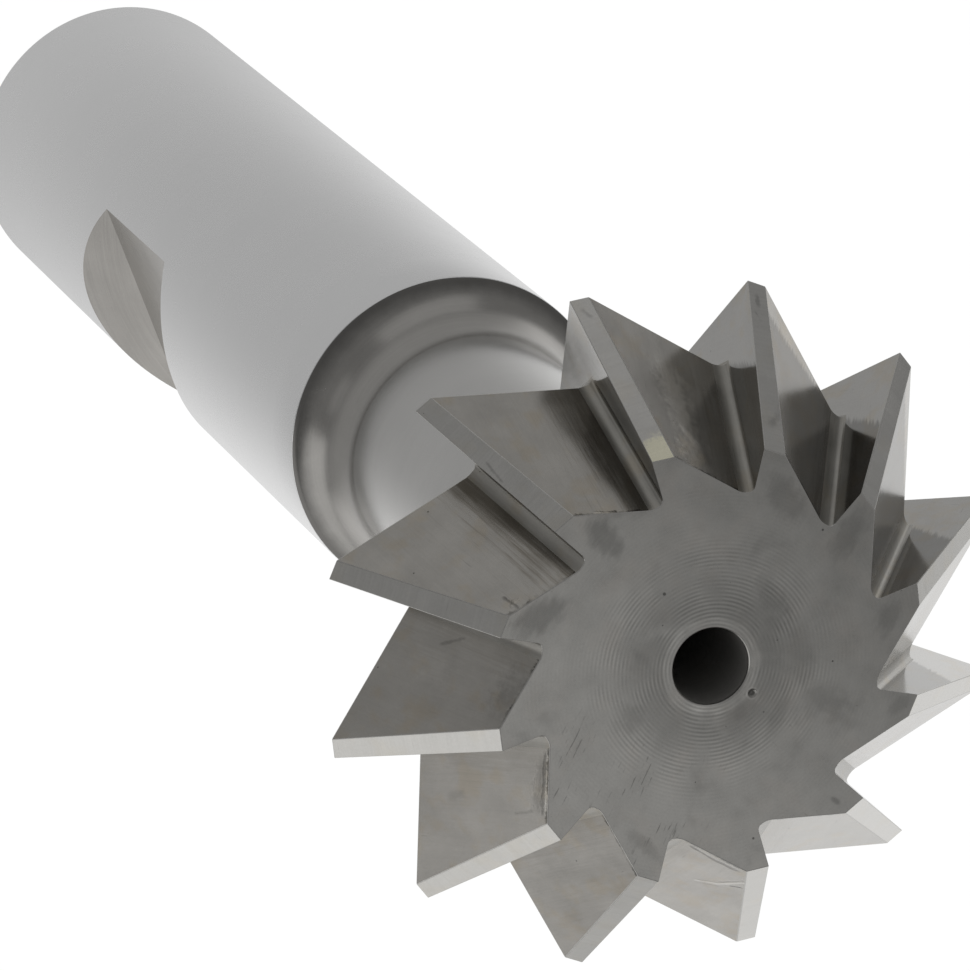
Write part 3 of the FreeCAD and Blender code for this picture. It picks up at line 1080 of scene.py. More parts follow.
RAKE = CutSteel(
    "ground_rake", (0.45, 0.443, 0.425), 0.13, lines=7.0, contrast=0.06, cloud=0.08, depth=0.3e-6,
    gullet_shade=0.40, gullet_shade_lean=0.81,
)
FLOOR = CutSteel(
    "gullet_floor", (0.34, 0.33, 0.305), 0.32, lines=3.0, contrast=0.24, cloud=0.28, pits=0.12,
)
FACE = FacedSteel(stains=STAINS)
EDGE = RoundSteel("worn_edge", (0.50, 0.49, 0.47), 0.32, grain=0.3)
BORE = RoundSteel("drilled_bore", (0.18, 0.175, 0.165), 0.5, grain=0.2, rings=0.2, metallic=0.4)
CONE = RoundSteel("turned_cone", (0.36, 0.35, 0.33), 0.30, grain=0.12, rings=0.15)
SHANK = RoundSteel("satin_shank", (0.765, 0.765, 0.765), 0.26, grain=0.03, rings=0.015, cloud=0.03)
STEP = RoundSteel(
    "turned_step", (0.36, 0.35, 0.333), 0.24, grain=0.09, rings=0.08, cloud=0.16, dark_radius=11.2
)
NECK = RoundSteel(
    "turned_neck", (0.51, 0.505, 0.49), 0.22, grain=0.05, rings=0.05, cloud=0.08, pits=0.12
)
FLAT = RoundSteel("milled_flat", (0.44, 0.425, 0.40), 0.24, grain=0.10, rings=0.16, cloud=0.14)


def dress(mesh: bpy.types.Mesh, finishes: dict[Zone, bpy.types.Material]) -> None:
    """Turn the zone numbers of a mesh into material slots, one for each finish in use.

    Args:
        mesh: The mesh, whose material numbers are its zones.
        finishes: The material of each zone.
    """
    zones = read(mesh.polygons, "material_index")
    used = [Zone(int(number)) for number in np.unique(zones)]
    materials = list(dict.fromkeys(finishes[zone] for zone in used))
    slot_of = np.zeros(len(Zone), np.int32)
    for zone in used:
        slot_of[int(zone)] = materials.index(finishes[zone])
    for material in materials:
        mesh.materials.append(material)
    mesh.polygons.foreach_set("material_index", slot_of[zones])


def add_object(name: str, data: bpy.types.ID) -> bpy.types.Object:
    """Add an object to the scene.

    Args:
        name: Its name.
        data: Its mesh, camera or light.

    Returns:
        The object, at the origin.
    """
    thing = bpy.data.objects.new(name, data)
    bpy.context.scene.collection.objects.link(thing)
    return thing


def add_piece(mesh: bpy.types.Mesh, finishes: dict[Zone, bpy.types.Material]) -> None:
    """Dress a mesh, scale it to metres and add it as a piece that stands for the cutter.

    Args:
        mesh: The mesh, in millimetres.
        finishes: The material of each of its zones.
    """
    dress(mesh, finishes)
    mesh.transform(Matrix.Scale(MM, 4))
    mesh.update()
    piece = add_object(mesh.name, mesh)
    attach(piece, "root")
    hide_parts("cutter")
    LOG.info("%s: %d faces", mesh.name, len(mesh.polygons))


# The head ---------------------------------------------------------------------------


@dataclass(frozen=True)
class Tooth:
    """One tooth and the gullet that follows it, in tooth one's frame.

    The frame's origin is on the axis in the tip plane and its x axis lies in the rake
    face. The front part rises to +z and the rear part falls to -z. Lengths are in
    millimetres and angles in degrees.

    Attributes:
        count: Number of teeth.
        tip_radius: Distance of a tip from the axis.
        front_width: Height of the end face above the tip plane.
        front_cone: Angle between the axis and the front cone, on which the lands lie.
        rear_cone: Angle between the axis and the rear cone.
        depth: How far the rake face reaches down from the tip, in the tip plane.
        floor_width: Width of the gullet's narrow floor.
        floor_fall: How far the floor falls towards the axis over that width.
        front_tilt: Angle between the axis and the front part of the gullet.
        rear_tilt: Angle between the axis and its rear part.
        land_width: Width of the land behind the tip.
        land_relief: How far the land falls away from the tip circle's tangent.
        neck_radius: Radius at which the rear cone ends.
        rim_columns: Columns of the rear cone along the back of a gullet.
    """

    count: int = 12
    tip_radius: float = 25.4
    front_width: float = 9.525
    front_cone: float = 45.0
    rear_cone: float = 45.0
    depth: float = 6.17
    floor_width: float = 0.86
    floor_fall: float = 0.18
    front_tilt: float = 34.4
    rear_tilt: float = 28.0
    land_width: float = 1.42
    land_relief: float = 9.2
    neck_radius: float = 9.525
    rim_columns: int = 7

    @property
    def pitch(self) -> float:
        """Angle from one tooth to the next, in degrees."""
        return 360.0 / self.count

    def direction(self, tilt: float, up: int) -> Array:
        """Unit vector that leans towards the axis by the tilt as it rises or falls."""
        a = math.radians(tilt)
        return np.array([-math.sin(a), 0.0, up * math.cos(a)])

    def tip(self) -> Array:
        """The tooth's tip."""
        return np.array([self.tip_radius, 0.0, 0.0])

    def heel(self) -> Array:
        """Where the land ends in the tip plane."""
        a = math.radians(self.land_relief)
        return self.tip() - self.land_width * np.array([math.sin(a), math.cos(a), 0.0])

    def root(self) -> Array:
        """Where the rake face ends in the tip plane."""
        return np.array([self.tip_radius - self.depth, 0.0, 0.0])

    def floor(self) -> Array:
        """Where the gullet's narrow floor ends in the tip plane."""
        return self.root() + np.array([-self.floor_fall, self.floor_width, 0.0])

    def corners(self) -> dict[str, Array]:
        """Work out the corners of the tooth's faces.

        Corners in the tip plane come straight from the sizes. The others are where three
        planes meet, or where a straight line of the rear cone meets a plane.

        Returns:
            The corners by name. Names that end in _next belong to the tooth that follows.
        """
        tip, heel, root, floor = self.tip(), self.heel(), self.root(), self.floor()
        heel_next = turn(heel, self.pitch)
        top = np.array([0.0, 0.0, 1.0, self.front_width])
        rake = np.array([0.0, 1.0, 0.0, 0.0])
        front, rear = self.direction(self.front_tilt, 1), self.direction(self.rear_tilt, -1)
        front_floor = plane(root, front, floor - root)
        front_back = plane(floor, front, heel_next - floor)
        front_land = plane(tip, self.direction(self.front_cone, 1), heel - tip)
        land_next = np.append(turn(front_land[:3], self.pitch), front_land[3])
        rear_land = plane(tip, self.direction(self.rear_cone, -1), heel - tip)
        far = abs(2 * math.degrees(math.atan(rear_land[1] / rear_land[0])))
        low, high = self.cone_exit(floor, rear), self.pitch - far
        angles = np.concatenate([[0.0], np.linspace(low, high, self.rim_columns)])
        floor_line = self.on_cone(plane(root, rear, floor - root), angles[:2])
        back_line = self.on_cone(plane(floor, rear, heel_next - floor), angles[2:])
        rim = np.vstack([floor_line, back_line])
        drop = self.neck_radius - self.tip_radius
        return {
            "tip": tip,
            "heel": heel,
            "heel_next": heel_next,
            "root": root,
            "floor": floor,
            "front_tip": meet(rake, front_land, top),
            "front_heel": turn(meet(land_next, front_back, top), -self.pitch),
            "front_heel_next": meet(land_next, front_back, top),
            "front_root": meet(rake, front_floor, top),
            "front_floor": meet(front_floor, front_back, top),
            "rim": rim,
            "base": ring(self.neck_radius, angles, drop),
            "neck_far": ring(self.neck_radius, np.array([-far]), drop)[0],
            "rear_heel": turn(rim[-1], -self.pitch),
        }

    def cone_exit(self, start: Array, along: Array) -> float:
        """Angle at which a line from a point leaves through the rear cone, in degrees.

        The cone's radius is tip_radius + z tan(cone angle), so the distance s along the
        line is a root of |start + s along|^2 in x and y = that radius squared.

        Args:
            start: The point, in the tip plane.
            along: Direction of the line.

        Returns:
            The angle.
        """
        slope = math.tan(math.radians(self.rear_cone))
        a = along[0] ** 2 + along[1] ** 2 - (slope * along[2]) ** 2
        b = 2 * (start[0] * along[0] + start[1] * along[1] - self.tip_radius * slope * along[2])
        c = start[0] ** 2 + start[1] ** 2 - self.tip_radius ** 2
        roots = np.roots([a, b, c])
        far = start + min(s for s in roots.real if s > 0) * along
        return math.degrees(math.atan2(far[1], far[0]))

    def on_cone(self, face: Array, angles: Array) -> Array:
        """Where the rear cone's straight lines, at these angles, meet a plane.

        A line starts at the cone's apex, and at radius r it is at r (cos a, sin a) and
        r over the tangent of the cone angle above that apex.

        Args:
            face: The plane.
            angles: Angles of the lines, in degrees.

        Returns:
            The points.
        """
        a = np.radians(angles)
        slope = 1 / math.tan(math.radians(self.rear_cone))
        line = np.stack([np.cos(a), np.sin(a), np.full(a.shape, slope)], axis=-1)
        apex = np.array([0.0, 0.0, -self.tip_radius * slope])
        reach = (face[3] - face[:3] @ apex) / (line @ face[:3])
        return apex + reach[:, None] * line

    def frames(self) -> dict[Zone, tuple[Array, Array, Array]]:
        """Work out how each zone lies that was cut along a line.

        Returns:
            Its origin, the direction of the feed, and the direction across it.
        """
        front, rear = self.direction(self.front_tilt, 1), self.direction(self.rear_tilt, -1)
        up, down = self.direction(self.front_cone, 1), self.direction(self.rear_cone, -1)
        heel_next = turn(self.heel(), self.pitch)
        runs = {
            Zone.FRONT_LAND: (self.tip(), up, self.heel() - self.tip()),
            Zone.REAR_LAND: (self.tip(), down, self.heel() - self.tip()),
            Zone.FRONT_BACK: (self.floor(), front, heel_next - self.floor()),
            Zone.REAR_BACK: (self.floor(), rear, heel_next - self.floor()),
            Zone.FRONT_RAKE: (self.root(), front, self.tip() - self.root()),
            Zone.REAR_RAKE: (self.root(), rear, self.tip() - self.root()),
            Zone.FRONT_FLOOR: (self.root(), front, self.floor() - self.root()),
            Zone.REAR_FLOOR: (self.root(), rear, self.floor() - self.root()),
        }
        out = {}
        for zone, (origin, along, towards) in runs.items():
            across = towards - (towards @ along) * along
            out[zone] = (origin, along, across / np.linalg.norm(across))
        return out


@dataclass
class Head:
    """The toothed head: twelve teeth on two cones, the end face and the blind bore.

    Lengths are in millimetres and angles in degrees. Of the two numbers of spokes, the
    second is for the tooth space with the hardness mark.

    Attributes:
        tooth: The tooth that all twelve are copies of.
        tip_height: Height of the tip plane above the shank's end.
        bore_radius: Radius of the bore.
        bore_mouth: Radius at which the rounding of its mouth starts.
        bore_depth: Its depth to the end of the straight wall.
        bore_point: Angle of its pointed bottom.
        fine_radius: Radius on the end face within which the rings are close together.
        rim_radius: Radius at which the rings start, inside the roots.
        dent_radius: Radius of the round hardness mark.
        dent_depth: Its depth.
        dent_distance: Distance of its middle from the axis.
        dent_angle: Direction of its middle.
        edge_break: Width of the rounding on sharp edges.
        root_round: Width of the rounding on both sides of a gullet's floor.
        root_spokes: Spokes of the end face over a gullet's floor.
        back_spokes: Spokes over the rest of a tooth space.
        outer_rings: Rings from the rim radius to the fine radius.
        inner_rings: Rings from there to the bore's mouth.
        mouth_rings: Rings of the rounded mouth.
        bore_rings: Rings of the straight wall.
    """

    tooth: Tooth = field(default_factory=Tooth)
    tip_height: float = TIP_HEIGHT
    bore_radius: float = 2.778
    bore_mouth: float = 2.978
    bore_depth: float = 19.05
    bore_point: float = 118.0
    fine_radius: float = 5.2
    rim_radius: float = 11.9
    dent_radius: float = 0.30
    dent_depth: float = 0.16
    dent_distance: float = 3.80
    dent_angle: float = 217.1
    edge_break: float = 0.045
    root_round: float = 0.30
    root_spokes: tuple[int, int] = (4, 12)
    back_spokes: tuple[int, int] = (18, 76)
    outer_rings: int = 7
    inner_rings: int = 38
    mouth_rings: int = 4
    bore_rings: int = 14

    def build(self) -> bpy.types.Mesh:
        """Build the head as one closed mesh.

        Returns:
            The mesh, in millimetres in the row frame.
        """
        skin = Skin()
        c = self.tooth.corners()
        for number in range(self.tooth.count):
            self.add_tooth(skin, c, number)
            self.add_face(skin, c, number)
        cap = [turn(c["base"], number * self.tooth.pitch) for number in range(self.tooth.count)]
        skin.polygon(cap, Zone.HEAD_CONE)
        smooth = {Zone.END_FACE, Zone.BORE, Zone.HEAD_CONE, Zone.FRONT_FLOOR, Zone.REAR_FLOOR}
        mesh = skin.mesh("cutter_head", smooth, self.edge_break, self.root_round)
        lay_out(mesh, self.tooth.frames(), self.tooth.pitch)
        mesh.transform(Matrix.Translation((0, 0, self.tip_height)))
        return mesh

    def add_tooth(self, skin: Skin, c: dict[str, Array], number: int) -> None:
        """Add the faces of one tooth and of the gullet that follows it.

        Args:
            skin: The surface that they are added to.
            c: The tooth's corners.
            number: Number of the tooth, from zero.
        """
        at = number * self.tooth.pitch
        rim = c["rim"]

        def face(zone: Zone, *corners: Array) -> None:
            """Add one face, given in tooth one's frame."""
            skin.polygon([turn(corner, at) for corner in corners], zone, number)

        face(Zone.FRONT_LAND, c["tip"], c["heel"], c["front_heel"], c["front_tip"])
        face(Zone.FRONT_RAKE, c["tip"], c["front_tip"], c["front_root"], c["root"])
        face(Zone.REAR_RAKE, c["tip"], c["root"], rim[0])
        face(Zone.FRONT_FLOOR, c["root"], c["front_root"], c["front_floor"], c["floor"])
        face(Zone.FRONT_BACK, c["floor"], c["front_floor"], c["front_heel_next"], c["heel_next"])
        face(Zone.REAR_FLOOR, c["root"], c["floor"], rim[1::-1])
        face(Zone.REAR_BACK, c["floor"], c["heel_next"], rim[:0:-1])
        far = (c["neck_far"], c["rear_heel"], c["heel"])
        face(Zone.REAR_LAND, c["tip"], rim[0], c["base"][0], *far)
        skin.grid(turn(np.stack([rim, c["base"]]), at), Zone.HEAD_CONE, number)

    def add_face(self, skin: Skin, c: dict[str, Array], number: int) -> None:
        """Add one tooth space of the end face, with the bore's wall below it.

        Args:
            skin: The surface that it is added to.
            c: The tooth's corners.
            number: Number of the tooth, from zero.
        """
        pitch, height = self.tooth.pitch, self.tooth.front_width
        at = number * pitch
        start = math.degrees(math.atan2(c["front_floor"][1], c["front_floor"][0]))
        dented = int(at <= self.dent_angle < at + pitch)
        near = np.linspace(0, start, self.root_spokes[dented])
        beyond = np.linspace(start, pitch, self.back_spokes[dented])[1:]
        spokes = at + np.concatenate([near, beyond])
        inner, first = ring(self.rim_radius, spokes, height), len(near)
        root = [turn(c[name], at) for name in ("front_root", "front_floor")]
        skin.polygon(root + [inner[:first][::-1]], Zone.END_FACE, number)
        outer = [root[1], turn(c["front_heel_next"], at)]
        outer += [turn(c[name], at + pitch) for name in ("front_tip", "front_root")]
        skin.polygon(outer + [inner[first - 1:][::-1]], Zone.END_FACE, number)
        for outside, inside, count in (
            (self.rim_radius, self.fine_radius, self.outer_rings),
            (self.fine_radius, self.bore_mouth, self.inner_rings),
        ):
            radii = np.linspace(outside, inside, count)
            grid = np.stack([ring(r, spokes, height) for r in radii])
            skin.grid(self.dented(grid), Zone.END_FACE, number)
        wall = self.bore_wall(spokes, height)
        bands = np.full(len(wall) - 1, int(Zone.BORE))
        bands[:self.mouth_rings - 1] = int(Zone.END_FACE)
        skin.grid(wall, bands, number)

    def dented(self, grid: Array) -> Array:
        """Press the round hardness mark into the end face.

        With q the distance from its middle over its radius, the depth is d (1 - q^2)^0.8.

        Args:
            grid: Points of the flat end face.

        Returns:
            The points with the mark.
        """
        middle = ring(self.dent_distance, np.array([self.dent_angle]), 0.0)[0]
        q = np.hypot(grid[..., 0] - middle[0], grid[..., 1] - middle[1]) / self.dent_radius
        drop = self.dent_depth * np.clip(1 - q * q, 0, None) ** 0.8
        out = grid.copy()
        out[..., 2] -= drop
        return out

    def bore_wall(self, spokes: Array, height: float) -> Array:
        """The bore from its rounded mouth to its pointed bottom, as rings about the axis.

        With e the rounding's radius and t from 0 to a quarter turn, the mouth is at the
        radius mouth - e sin t and e (1 - cos t) below the end face.

        Args:
            spokes: Angles of its columns, in degrees.
            height: Height of the end face.

        Returns:
            The grid of points.
        """
        bottom = height - self.bore_depth
        point = bottom - self.bore_radius / math.tan(math.radians(self.bore_point / 2))
        step = self.bore_mouth - self.bore_radius
        t = np.linspace(0, math.pi / 2, self.mouth_rings)
        radii = np.concatenate([
            self.bore_mouth - step * np.sin(t),
            np.full(self.bore_rings, self.bore_radius),
            [self.bore_radius * 0.5, 0.0],
        ])
        heights = np.concatenate([
            height - step * (1 - np.cos(t)),
            np.linspace(height - 2 * step, bottom, self.bore_rings),
            [(bottom + point) / 2, point],
        ])
        return np.stack([ring(r, spokes, z) for r, z in zip(radii, heights)])

    def finishes(self) -> dict[Zone, bpy.types.Material]:
        """Build the head's finishes.

        Returns:
            The material of each of its zones.
        """
        land, back, rake, floor = (f.material() for f in (LAND, BACK, RAKE, FLOOR))
        return {
            Zone.FRONT_LAND: land, Zone.REAR_LAND: land,
            Zone.FRONT_BACK: back, Zone.REAR_BACK: back,
            Zone.FRONT_RAKE: rake, Zone.REAR_RAKE: rake,
            Zone.FRONT_FLOOR: floor, Zone.REAR_FLOOR: floor,
            Zone.END_FACE: FACE.material(), Zone.BORE: BORE.material(),
            Zone.EDGE: EDGE.material(), Zone.HEAD_CONE: CONE.material(),
        }


# The shank --------------------------------------------------------------------------


@dataclass
class Shank:
    """The shank with its clamping flat and centre hole, the concave step and the neck.

    Lengths are in millimetres and angles in degrees.

    Attributes:
        radius: Radius of the shank.
        length: Height at which the concave step starts.
        chamfer: Width of the chamfer on the end.
        edge_break: Radius of the rounded edge between the wall and the step.
        edge_turn: How far that rounding turns inwards from the wall.
        step_fillet: Radius of the concave step.
        neck_radius: Radius of the neck.
        neck_top: Height at which the head's rear cone starts.
        neck_overlap: How far the neck goes on inside the head.
        flat_angle: Direction that the clamping flat faces.
        flat_distance: Distance of the flat's floor from the axis.
        flat_low: Height at which the floor starts.
        flat_high: Height at which it ends.
        flat_low_wall: Angle between a radius and the flat's lower wall.
        flat_high_wall: Angle between a radius and its upper wall.
        hole_mouth: Radius of the centre hole at its mouth.
        hole_taper_end: Depth of its taper.
        hole_pilot: Radius of the pilot hole.
        hole_depth: Depth of the pilot hole's straight wall.
        hole_point: Depth of its pointed end.
        end_ring: Radius of the ring that divides the end face.
        columns: Columns from one edge of the flat's floor round the back to the other.
        wall_rows: Rows of the wall below the flat, and as many above it.
        flat_steps: Steps from the flat's middle to an edge of its floor.
        flat_columns: Columns across the flat.
        arc_points: Points of the concave step's profile.
        edge_points: Points of the rounded edge's profile.
        neck_rows: Rows of the neck.
    """

    radius: float = 12.7
    length: float = 92.075
    chamfer: float = 0.4
    edge_break: float = 0.12
    edge_turn: float = 60.0
    step_fillet: float = 6.35
    neck_radius: float = 9.525
    neck_top: float = 123.825
    neck_overlap: float = 0.6
    flat_angle: float = 94.0
    flat_distance: float = 9.25
    flat_low: float = 37.25
    flat_high: float = 54.35
    flat_low_wall: float = 54.5
    flat_high_wall: float = 41.9
    hole_mouth: float = 3.175
    hole_taper_end: float = 3.334
    hole_pilot: float = 1.25
    hole_depth: float = 7.0
    hole_point: float = 7.751
    end_ring: float = 8.0
    columns: int = 115
    wall_rows: int = 8
    flat_steps: int = 18
    flat_columns: int = 31
    arc_points: int = 33
    edge_points: int = 4
    neck_rows: int = 12

    def angles(self) -> Array:
        """Angles of the columns round the shank, in degrees, starting at the flat's middle.

        On either side of it they run in equal steps to the edge of the flat's floor, where
        the cosine is the floor's distance over the radius, and from edge to edge beyond.

        Returns:
            The angles. The last is a full turn after the first.
        """
        edge = math.degrees(math.acos(self.flat_distance / self.radius))
        near = np.linspace(0, edge, self.flat_steps + 1)
        beside = np.linspace(edge, 360 - edge, self.columns)
        return self.flat_angle + np.concatenate([near[:-1], beside, 360 - near[-2::-1]])

    def flat_ends(self, out: Array) -> tuple[Array, Array]:
        """Find the heights where the flat's sloping walls are this far from the axis.

        A wall rises from the floor by the tangent of its angle for each millimetre outwards.

        Args:
            out: Distances from the axis, in millimetres.

        Returns:
            The heights on the lower wall and on the upper wall.
        """
        rise = np.clip(out - self.flat_distance, 0, None)
        low = self.flat_low - rise * math.tan(math.radians(self.flat_low_wall))
        high = self.flat_high + rise * math.tan(math.radians(self.flat_high_wall))
        return low, high

    def build(self) -> bpy.types.Mesh:
        """Build the shank as one closed mesh.

        Returns:
            The mesh, in millimetres in the row frame.
        """
        skin = Skin()
        hole = [
            (0.0, self.hole_point), (self.hole_pilot, self.hole_depth),
            (self.hole_pilot, self.hole_taper_end), (self.hole_mouth, 0.0),
        ]
        end = [(self.end_ring, 0.0), (self.radius - self.chamfer, 0.0)]
        self.revolve(skin, hole + end, Zone.SHANK_END)
        self.add_wall(skin)
        self.add_flat(skin)
        self.add_step(skin)
        return skin.mesh("cutter_shank", {Zone.SHANK, Zone.STEP, Zone.NECK, Zone.SHANK_END})

    def add_wall(self, skin: Skin) -> None:
        """Add the chamfer and the round wall below, beside and above the flat.

        Each column stands upright. Below and above, its heights run in equal steps from the
        wall's end to the flat's outline, whose distance from the axis is r times the cosine
        of the angle from the flat's middle.

        Args:
            skin: The surface that they are added to.
        """
        angles, share = self.angles(), np.linspace(0, 1, self.wall_rows)
        low, high = self.flat_ends(self.radius * np.cos(np.radians(angles - self.flat_angle)))
        top = self.length - self.edge_break
        below = [ring(self.radius, angles, self.chamfer + s * (low - self.chamfer)) for s in share]
        above = [ring(self.radius, angles, high + s * (top - high)) for s in share]
        beside = angles[self.flat_steps:-self.flat_steps]
        middle = [ring(self.radius, beside, z) for z in (self.flat_low, self.flat_high)]
        skin.grid(np.stack([ring(self.radius - self.chamfer, angles, 0.0), *below]), Zone.SHANK)
        skin.grid(np.stack(middle), Zone.SHANK)
        skin.grid(np.stack(above), Zone.SHANK)

    def add_flat(self, skin: Skin) -> None:
        """Add the clamping flat and its sloping walls, as straight rows across the shank.

        With h the angle of a column from the flat's middle, a row that ends on it is at
        r cos h from the axis and reaches r sin h each way.

        Args:
            skin: The surface that they are added to.
        """
        half = np.radians(self.angles()[:self.flat_steps + 1] - self.flat_angle)
        low, high = self.flat_ends(self.radius * np.cos(half))
        heights = np.concatenate([low, high[::-1]])
        distances, reach = (
            np.concatenate([side, side[::-1]])
            for side in (self.radius * np.cos(half), self.radius * np.sin(half))
        )
        across, one = np.linspace(-1, 1, self.flat_columns), np.ones(self.flat_columns)
        rows = [
            np.stack([d * one, w * across, height * one], axis=-1)
            for d, w, height in zip(distances, reach, heights)
        ]
        zones = np.full(len(heights) - 1, int(Zone.FLAT_WALL))
        zones[len(heights) // 2 - 1] = int(Zone.FLAT_FLOOR)
        skin.grid(turn(np.stack(rows), self.flat_angle), zones)

    def add_step(self, skin: Skin) -> None:
        """Add the broken edge, the concave step, the neck and its hidden top.

        The step is an arc about a centre one fillet radius outside the neck: with t from
        the neck to the shank's edge, r = centre - fillet cos t and z = top - fillet sin t.

        Args:
            skin: The surface that they are added to.
        """
        centre = self.neck_radius + self.step_fillet
        end = math.acos((centre - self.radius) / self.step_fillet)
        top = self.length + self.step_fillet * math.sin(end)
        t = np.linspace(end, 0, self.arc_points)[1:]
        arc = np.stack([
            centre - self.step_fillet * np.cos(t),
            top - self.step_fillet * np.sin(t),
        ], axis=-1)
        a = np.linspace(0, math.radians(self.edge_turn), self.edge_points)
        edge = np.stack([
            self.radius - self.edge_break * (1 - np.cos(a)),
            self.length - self.edge_break * (1 - np.sin(a)),
        ], axis=-1)
        rise = np.linspace(top, self.neck_top + self.neck_overlap, self.neck_rows)
        neck = np.stack([np.full(self.neck_rows, self.neck_radius), rise], axis=-1)
        self.revolve(skin, edge, Zone.SHANK)
        self.revolve(skin, np.vstack([edge[-1:], arc]), Zone.STEP)
        self.revolve(skin, np.vstack([neck, [0.0, rise[-1]]]), Zone.NECK)

    def revolve(self, skin: Skin, profile: Union[list, Array], zone: Zone) -> None:
        """Turn a profile of radius and height about Z, on the columns of the wall."""
        angles = self.angles()
        skin.grid(np.stack([ring(r, angles, z) for r, z in np.asarray(profile, float)]), zone)

    def finishes(self) -> dict[Zone, bpy.types.Material]:
        """Build the shank's finishes.

        Returns:
            The material of each of its zones.
        """
        shank, flat = SHANK.material(), FLAT.material()
        return {
            Zone.SHANK: shank, Zone.SHANK_END: shank,
            Zone.FLAT_FLOOR: flat, Zone.FLAT_WALL: flat,
            Zone.STEP: STEP.material(), Zone.NECK: NECK.material(),
        }


# The studio -------------------------------------------------------------------------


@dataclass(frozen=True)
class View:
    """The photograph's view: where the camera is and how it is turned, in the row frame.

    Attributes:
        place: Place of the camera, in millimetres.
        right: Direction to the right of the picture.
        up: Direction to its top.
        focal_pixels: Focal length, in pixels.
        width_pixels: Width of the picture, in pixels.
        sensor: Width of the camera's sensor, in millimetres.
        clip: Nearest and farthest distance that it sees, in metres.
    """

    place: Point = (198.8234, 112.1940, 584.3827)
    right: Point = (-0.266584, -0.909063, 0.320215)
    up: Point = (0.888393, -0.360603, -0.284120)
    focal_pixels: float = 7098.973
    width_pixels: float = 970.0
    sensor: float = 36.0
    clip: tuple[float, float] = (0.01, 20.0)

    def add(self) -> None:
        """Add the camera and make it the scene's."""
        camera = bpy.data.cameras.new("view")
        camera.sensor_fit = "HORIZONTAL"
        camera.sensor_width = self.sensor
        camera.lens = self.focal_pixels * self.sensor / self.width_pixels
        camera.clip_start, camera.clip_end = self.clip
        seat = add_object("view", camera)
        right = Vector(self.right).normalized()
        back = right.cross(Vector(self.up)).normalized()
        turned = Matrix((right, back.cross(right), back)).transposed().to_4x4()
        seat.matrix_world = Matrix.Translation(Vector(self.place) * MM) @ turned
        bpy.context.scene.camera = seat


@dataclass(frozen=True)
class Softbox:
    """A soft rectangular light.

    Attributes:
        name: Its name.
        azimuth: Where it is seen from the object, round Z, in degrees.
        elevation: How far that is above the horizon, in degrees.
        width: Its width, in metres.
        height: Its height, in metres.
        radiance: How bright it looks, where the white of the background is 1.
        distance: Its distance from the object, in metres.
    """

    name: str
    azimuth: float
    elevation: float
    width: float
    height: float
    radiance: float
    distance: float = 1.2

    def add(self, aim: Vector) -> None:
        """Add the light, facing the point it lights. Its energy is 4 radiance width height.

        Args:
            aim: The point that the light faces.
        """
        data = bpy.data.lights.new(self.name, "AREA")
        data.shape = "RECTANGLE"
        data.size, data.size_y = self.width, self.height
        data.energy = 4.0 * self.radiance * self.width * self.height
        lamp = add_object(self.name, data)
        a, e = math.radians(self.azimuth), math.radians(self.elevation)
        out = Vector((math.cos(e) * math.cos(a), math.cos(e) * math.sin(a), math.sin(e)))
        lamp.location = aim + out * self.distance
        lamp.rotation_euler = out.to_track_quat("Z", "Y").to_euler()
        lamp.visible_camera = False


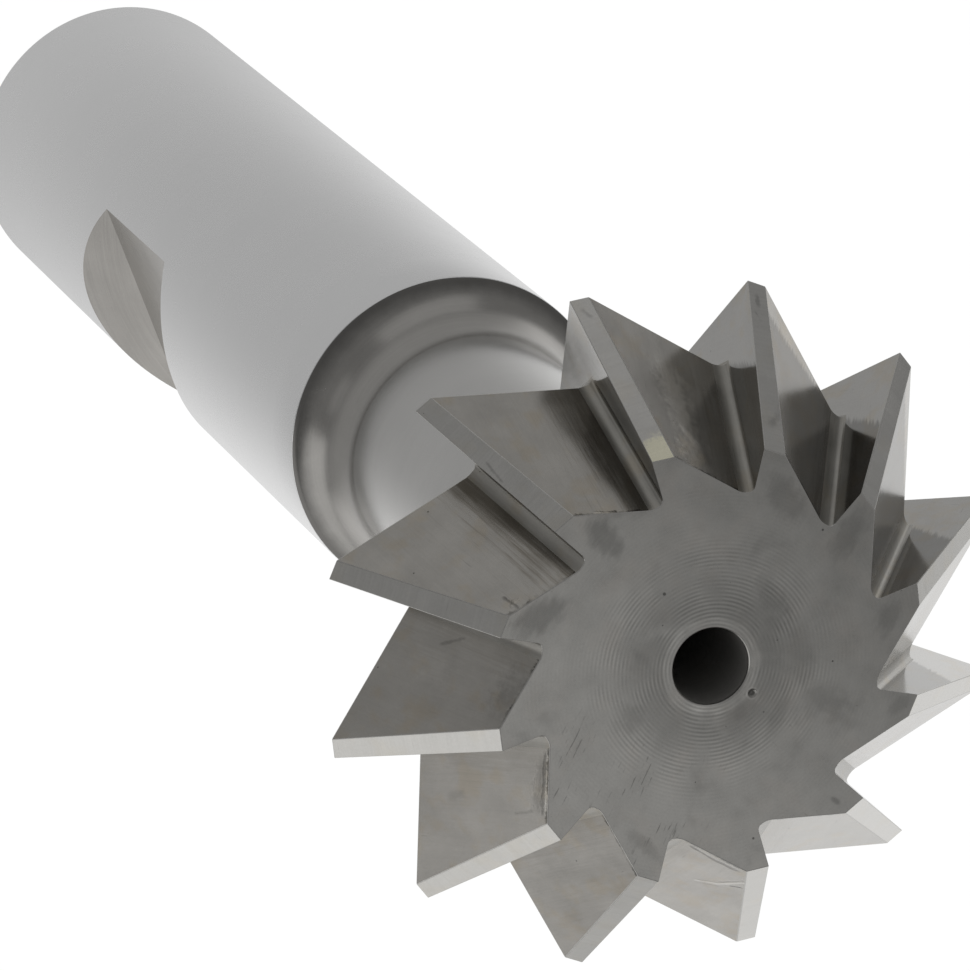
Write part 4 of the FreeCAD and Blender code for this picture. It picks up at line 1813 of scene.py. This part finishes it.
@dataclass
class Studio:
    """A white floor under soft light, with a darker side where the camera stands.

    Attributes:
        mirrored: Strength of the room in mirrors.
        ambient: Strength of the room on matt surfaces.
        aim: The point that the lamps face, in metres.
        floor_low: Corner of the floor, in metres.
        floor_high: The opposite corner.
        far_side: Direction away from the camera, in degrees.
        floor_reach: Distances that way at which its strength starts and ends to rise.
        floor_strength: Its strength in mirrors before and beyond them.
        floor_fade: Distances from the axis at which it starts and ends to fade.
        floor_far: Share of its strength that is left there.
        floor_colour: Its colour under the lamps.
        floor_white: Strength of its own white to all but mirrors.
        floor_shares: Share of that white in what the camera sees, and in what mirrors see.
        lamps: The lamps.
    """

    mirrored: float = 0.27
    ambient: float = 0.70
    aim: Point = (0.0, 0.0, 0.09)
    floor_low: tuple[float, float] = (-1.5, -0.40)
    floor_high: tuple[float, float] = (0.9, 1.5)
    far_side: float = -158.0
    floor_reach: tuple[float, float] = (-45.0, 65.0)
    floor_strength: tuple[float, float] = (0.44, 1.12)
    floor_fade: tuple[float, float] = (220.0, 750.0)
    floor_far: float = 0.45
    floor_colour: Rgb = (0.85, 0.85, 0.85)
    floor_white: float = 1.02
    floor_shares: tuple[float, float] = (0.975, 0.8)
    lamps: tuple[Softbox, ...] = (
        Softbox("side_box", 116.0, 10.0, width=1.7, height=0.95, radiance=0.50),
        Softbox("low_box", -16.0, 6.0, width=1.35, height=0.60, radiance=0.20),
        Softbox("front_box", 54.0, 0.0, width=0.5, height=0.4, radiance=0.13),
        Softbox("top_box", -150.0, 62.0, width=0.7, height=0.7, radiance=0.10),
    )

    def add(self) -> None:
        """Add the world, the floor, the lights and the camera."""
        scene = bpy.context.scene
        scene.view_settings.view_transform = "Standard"
        self.add_world(scene)
        self.add_floor()
        for lamp in self.lamps:
            lamp.add(Vector(self.aim))
        View().add()

    def add_world(self, scene: bpy.types.Scene) -> None:
        """Light the room: white to the camera, plain on matt surfaces and dimmer in mirrors.

        Args:
            scene: The scene.
        """
        world = bpy.data.worlds.new("studio")
        world.use_nodes = True
        scene.world = world
        g = Graph(world.node_tree)
        path = g.raw("ShaderNodeLightPath")
        seen, mirror = (Wire(g, path.outputs[name]) for name in ("Is Camera Ray", "Is Glossy Ray"))
        strength = self.ambient + seen * (1.0 - self.ambient)
        strength = strength - mirror * (self.ambient - self.mirrored)
        light = g.node("ShaderNodeBackground", None, {"Color": (1, 1, 1, 1), "Strength": strength})
        g.raw("ShaderNodeOutputWorld", None, {"Surface": light})

    def add_floor(self) -> None:
        """Add the pale floor: white to the camera with a trace of shadow, lit on its far side.

        Mirrors see it dim at the camera's side and bright beyond the object: its strength is a
        smooth step over the distance from the axis, measured away from the camera, times one
        that fades with the distance itself.
        """
        (west, south), (east, north) = self.floor_low, self.floor_high
        mesh = bpy.data.meshes.new("floor")
        corners = [(west, south, 0), (east, south, 0), (east, north, 0), (west, north, 0)]
        mesh.from_pydata(corners, [], [(0, 1, 2, 3)])
        material, g = new_material("white_floor")
        path = g.raw("ShaderNodeLightPath")
        names = ("Is Camera Ray", "Is Glossy Ray", "Is Transmission Ray")
        camera, glossy, clear = (Wire(g, path.outputs[name]) for name in names)
        mirror = glossy.most(clear)
        x, y, _ = g.place()
        seen = in_direction(x, y, self.far_side).ramp(*self.floor_reach, *self.floor_strength)
        seen = seen * distance(x, y).ramp(*self.floor_fade, 1.0, self.floor_far)
        matt = g.node("ShaderNodeBsdfDiffuse", None, {"Color": (*self.floor_colour, 1.0)})
        strength = seen * mirror + (1.0 - mirror) * self.floor_white
        white = g.node("ShaderNodeEmission", None, {"Color": (1, 1, 1, 1), "Strength": strength})
        factor = (camera * self.floor_shares[0]).most(mirror * self.floor_shares[1])
        mixed = g.node("ShaderNodeMixShader", None, {0: factor, 1: matt, 2: white})
        g.raw("ShaderNodeOutputMaterial", None, {"Surface": mixed})
        mesh.materials.append(material)
        add_object("floor", mesh)


def main() -> None:
    """Build and dress the cutter and set up the studio."""
    logging.basicConfig(level=logging.INFO, format="%(name)s: %(message)s")
    Studio().add()
    head, shank = Head(), Shank()
    add_piece(head.build(), head.finishes())
    add_piece(shank.build(), shank.finishes())
    bpy.context.view_layer.update()


if __name__ == "__main__":
    main()
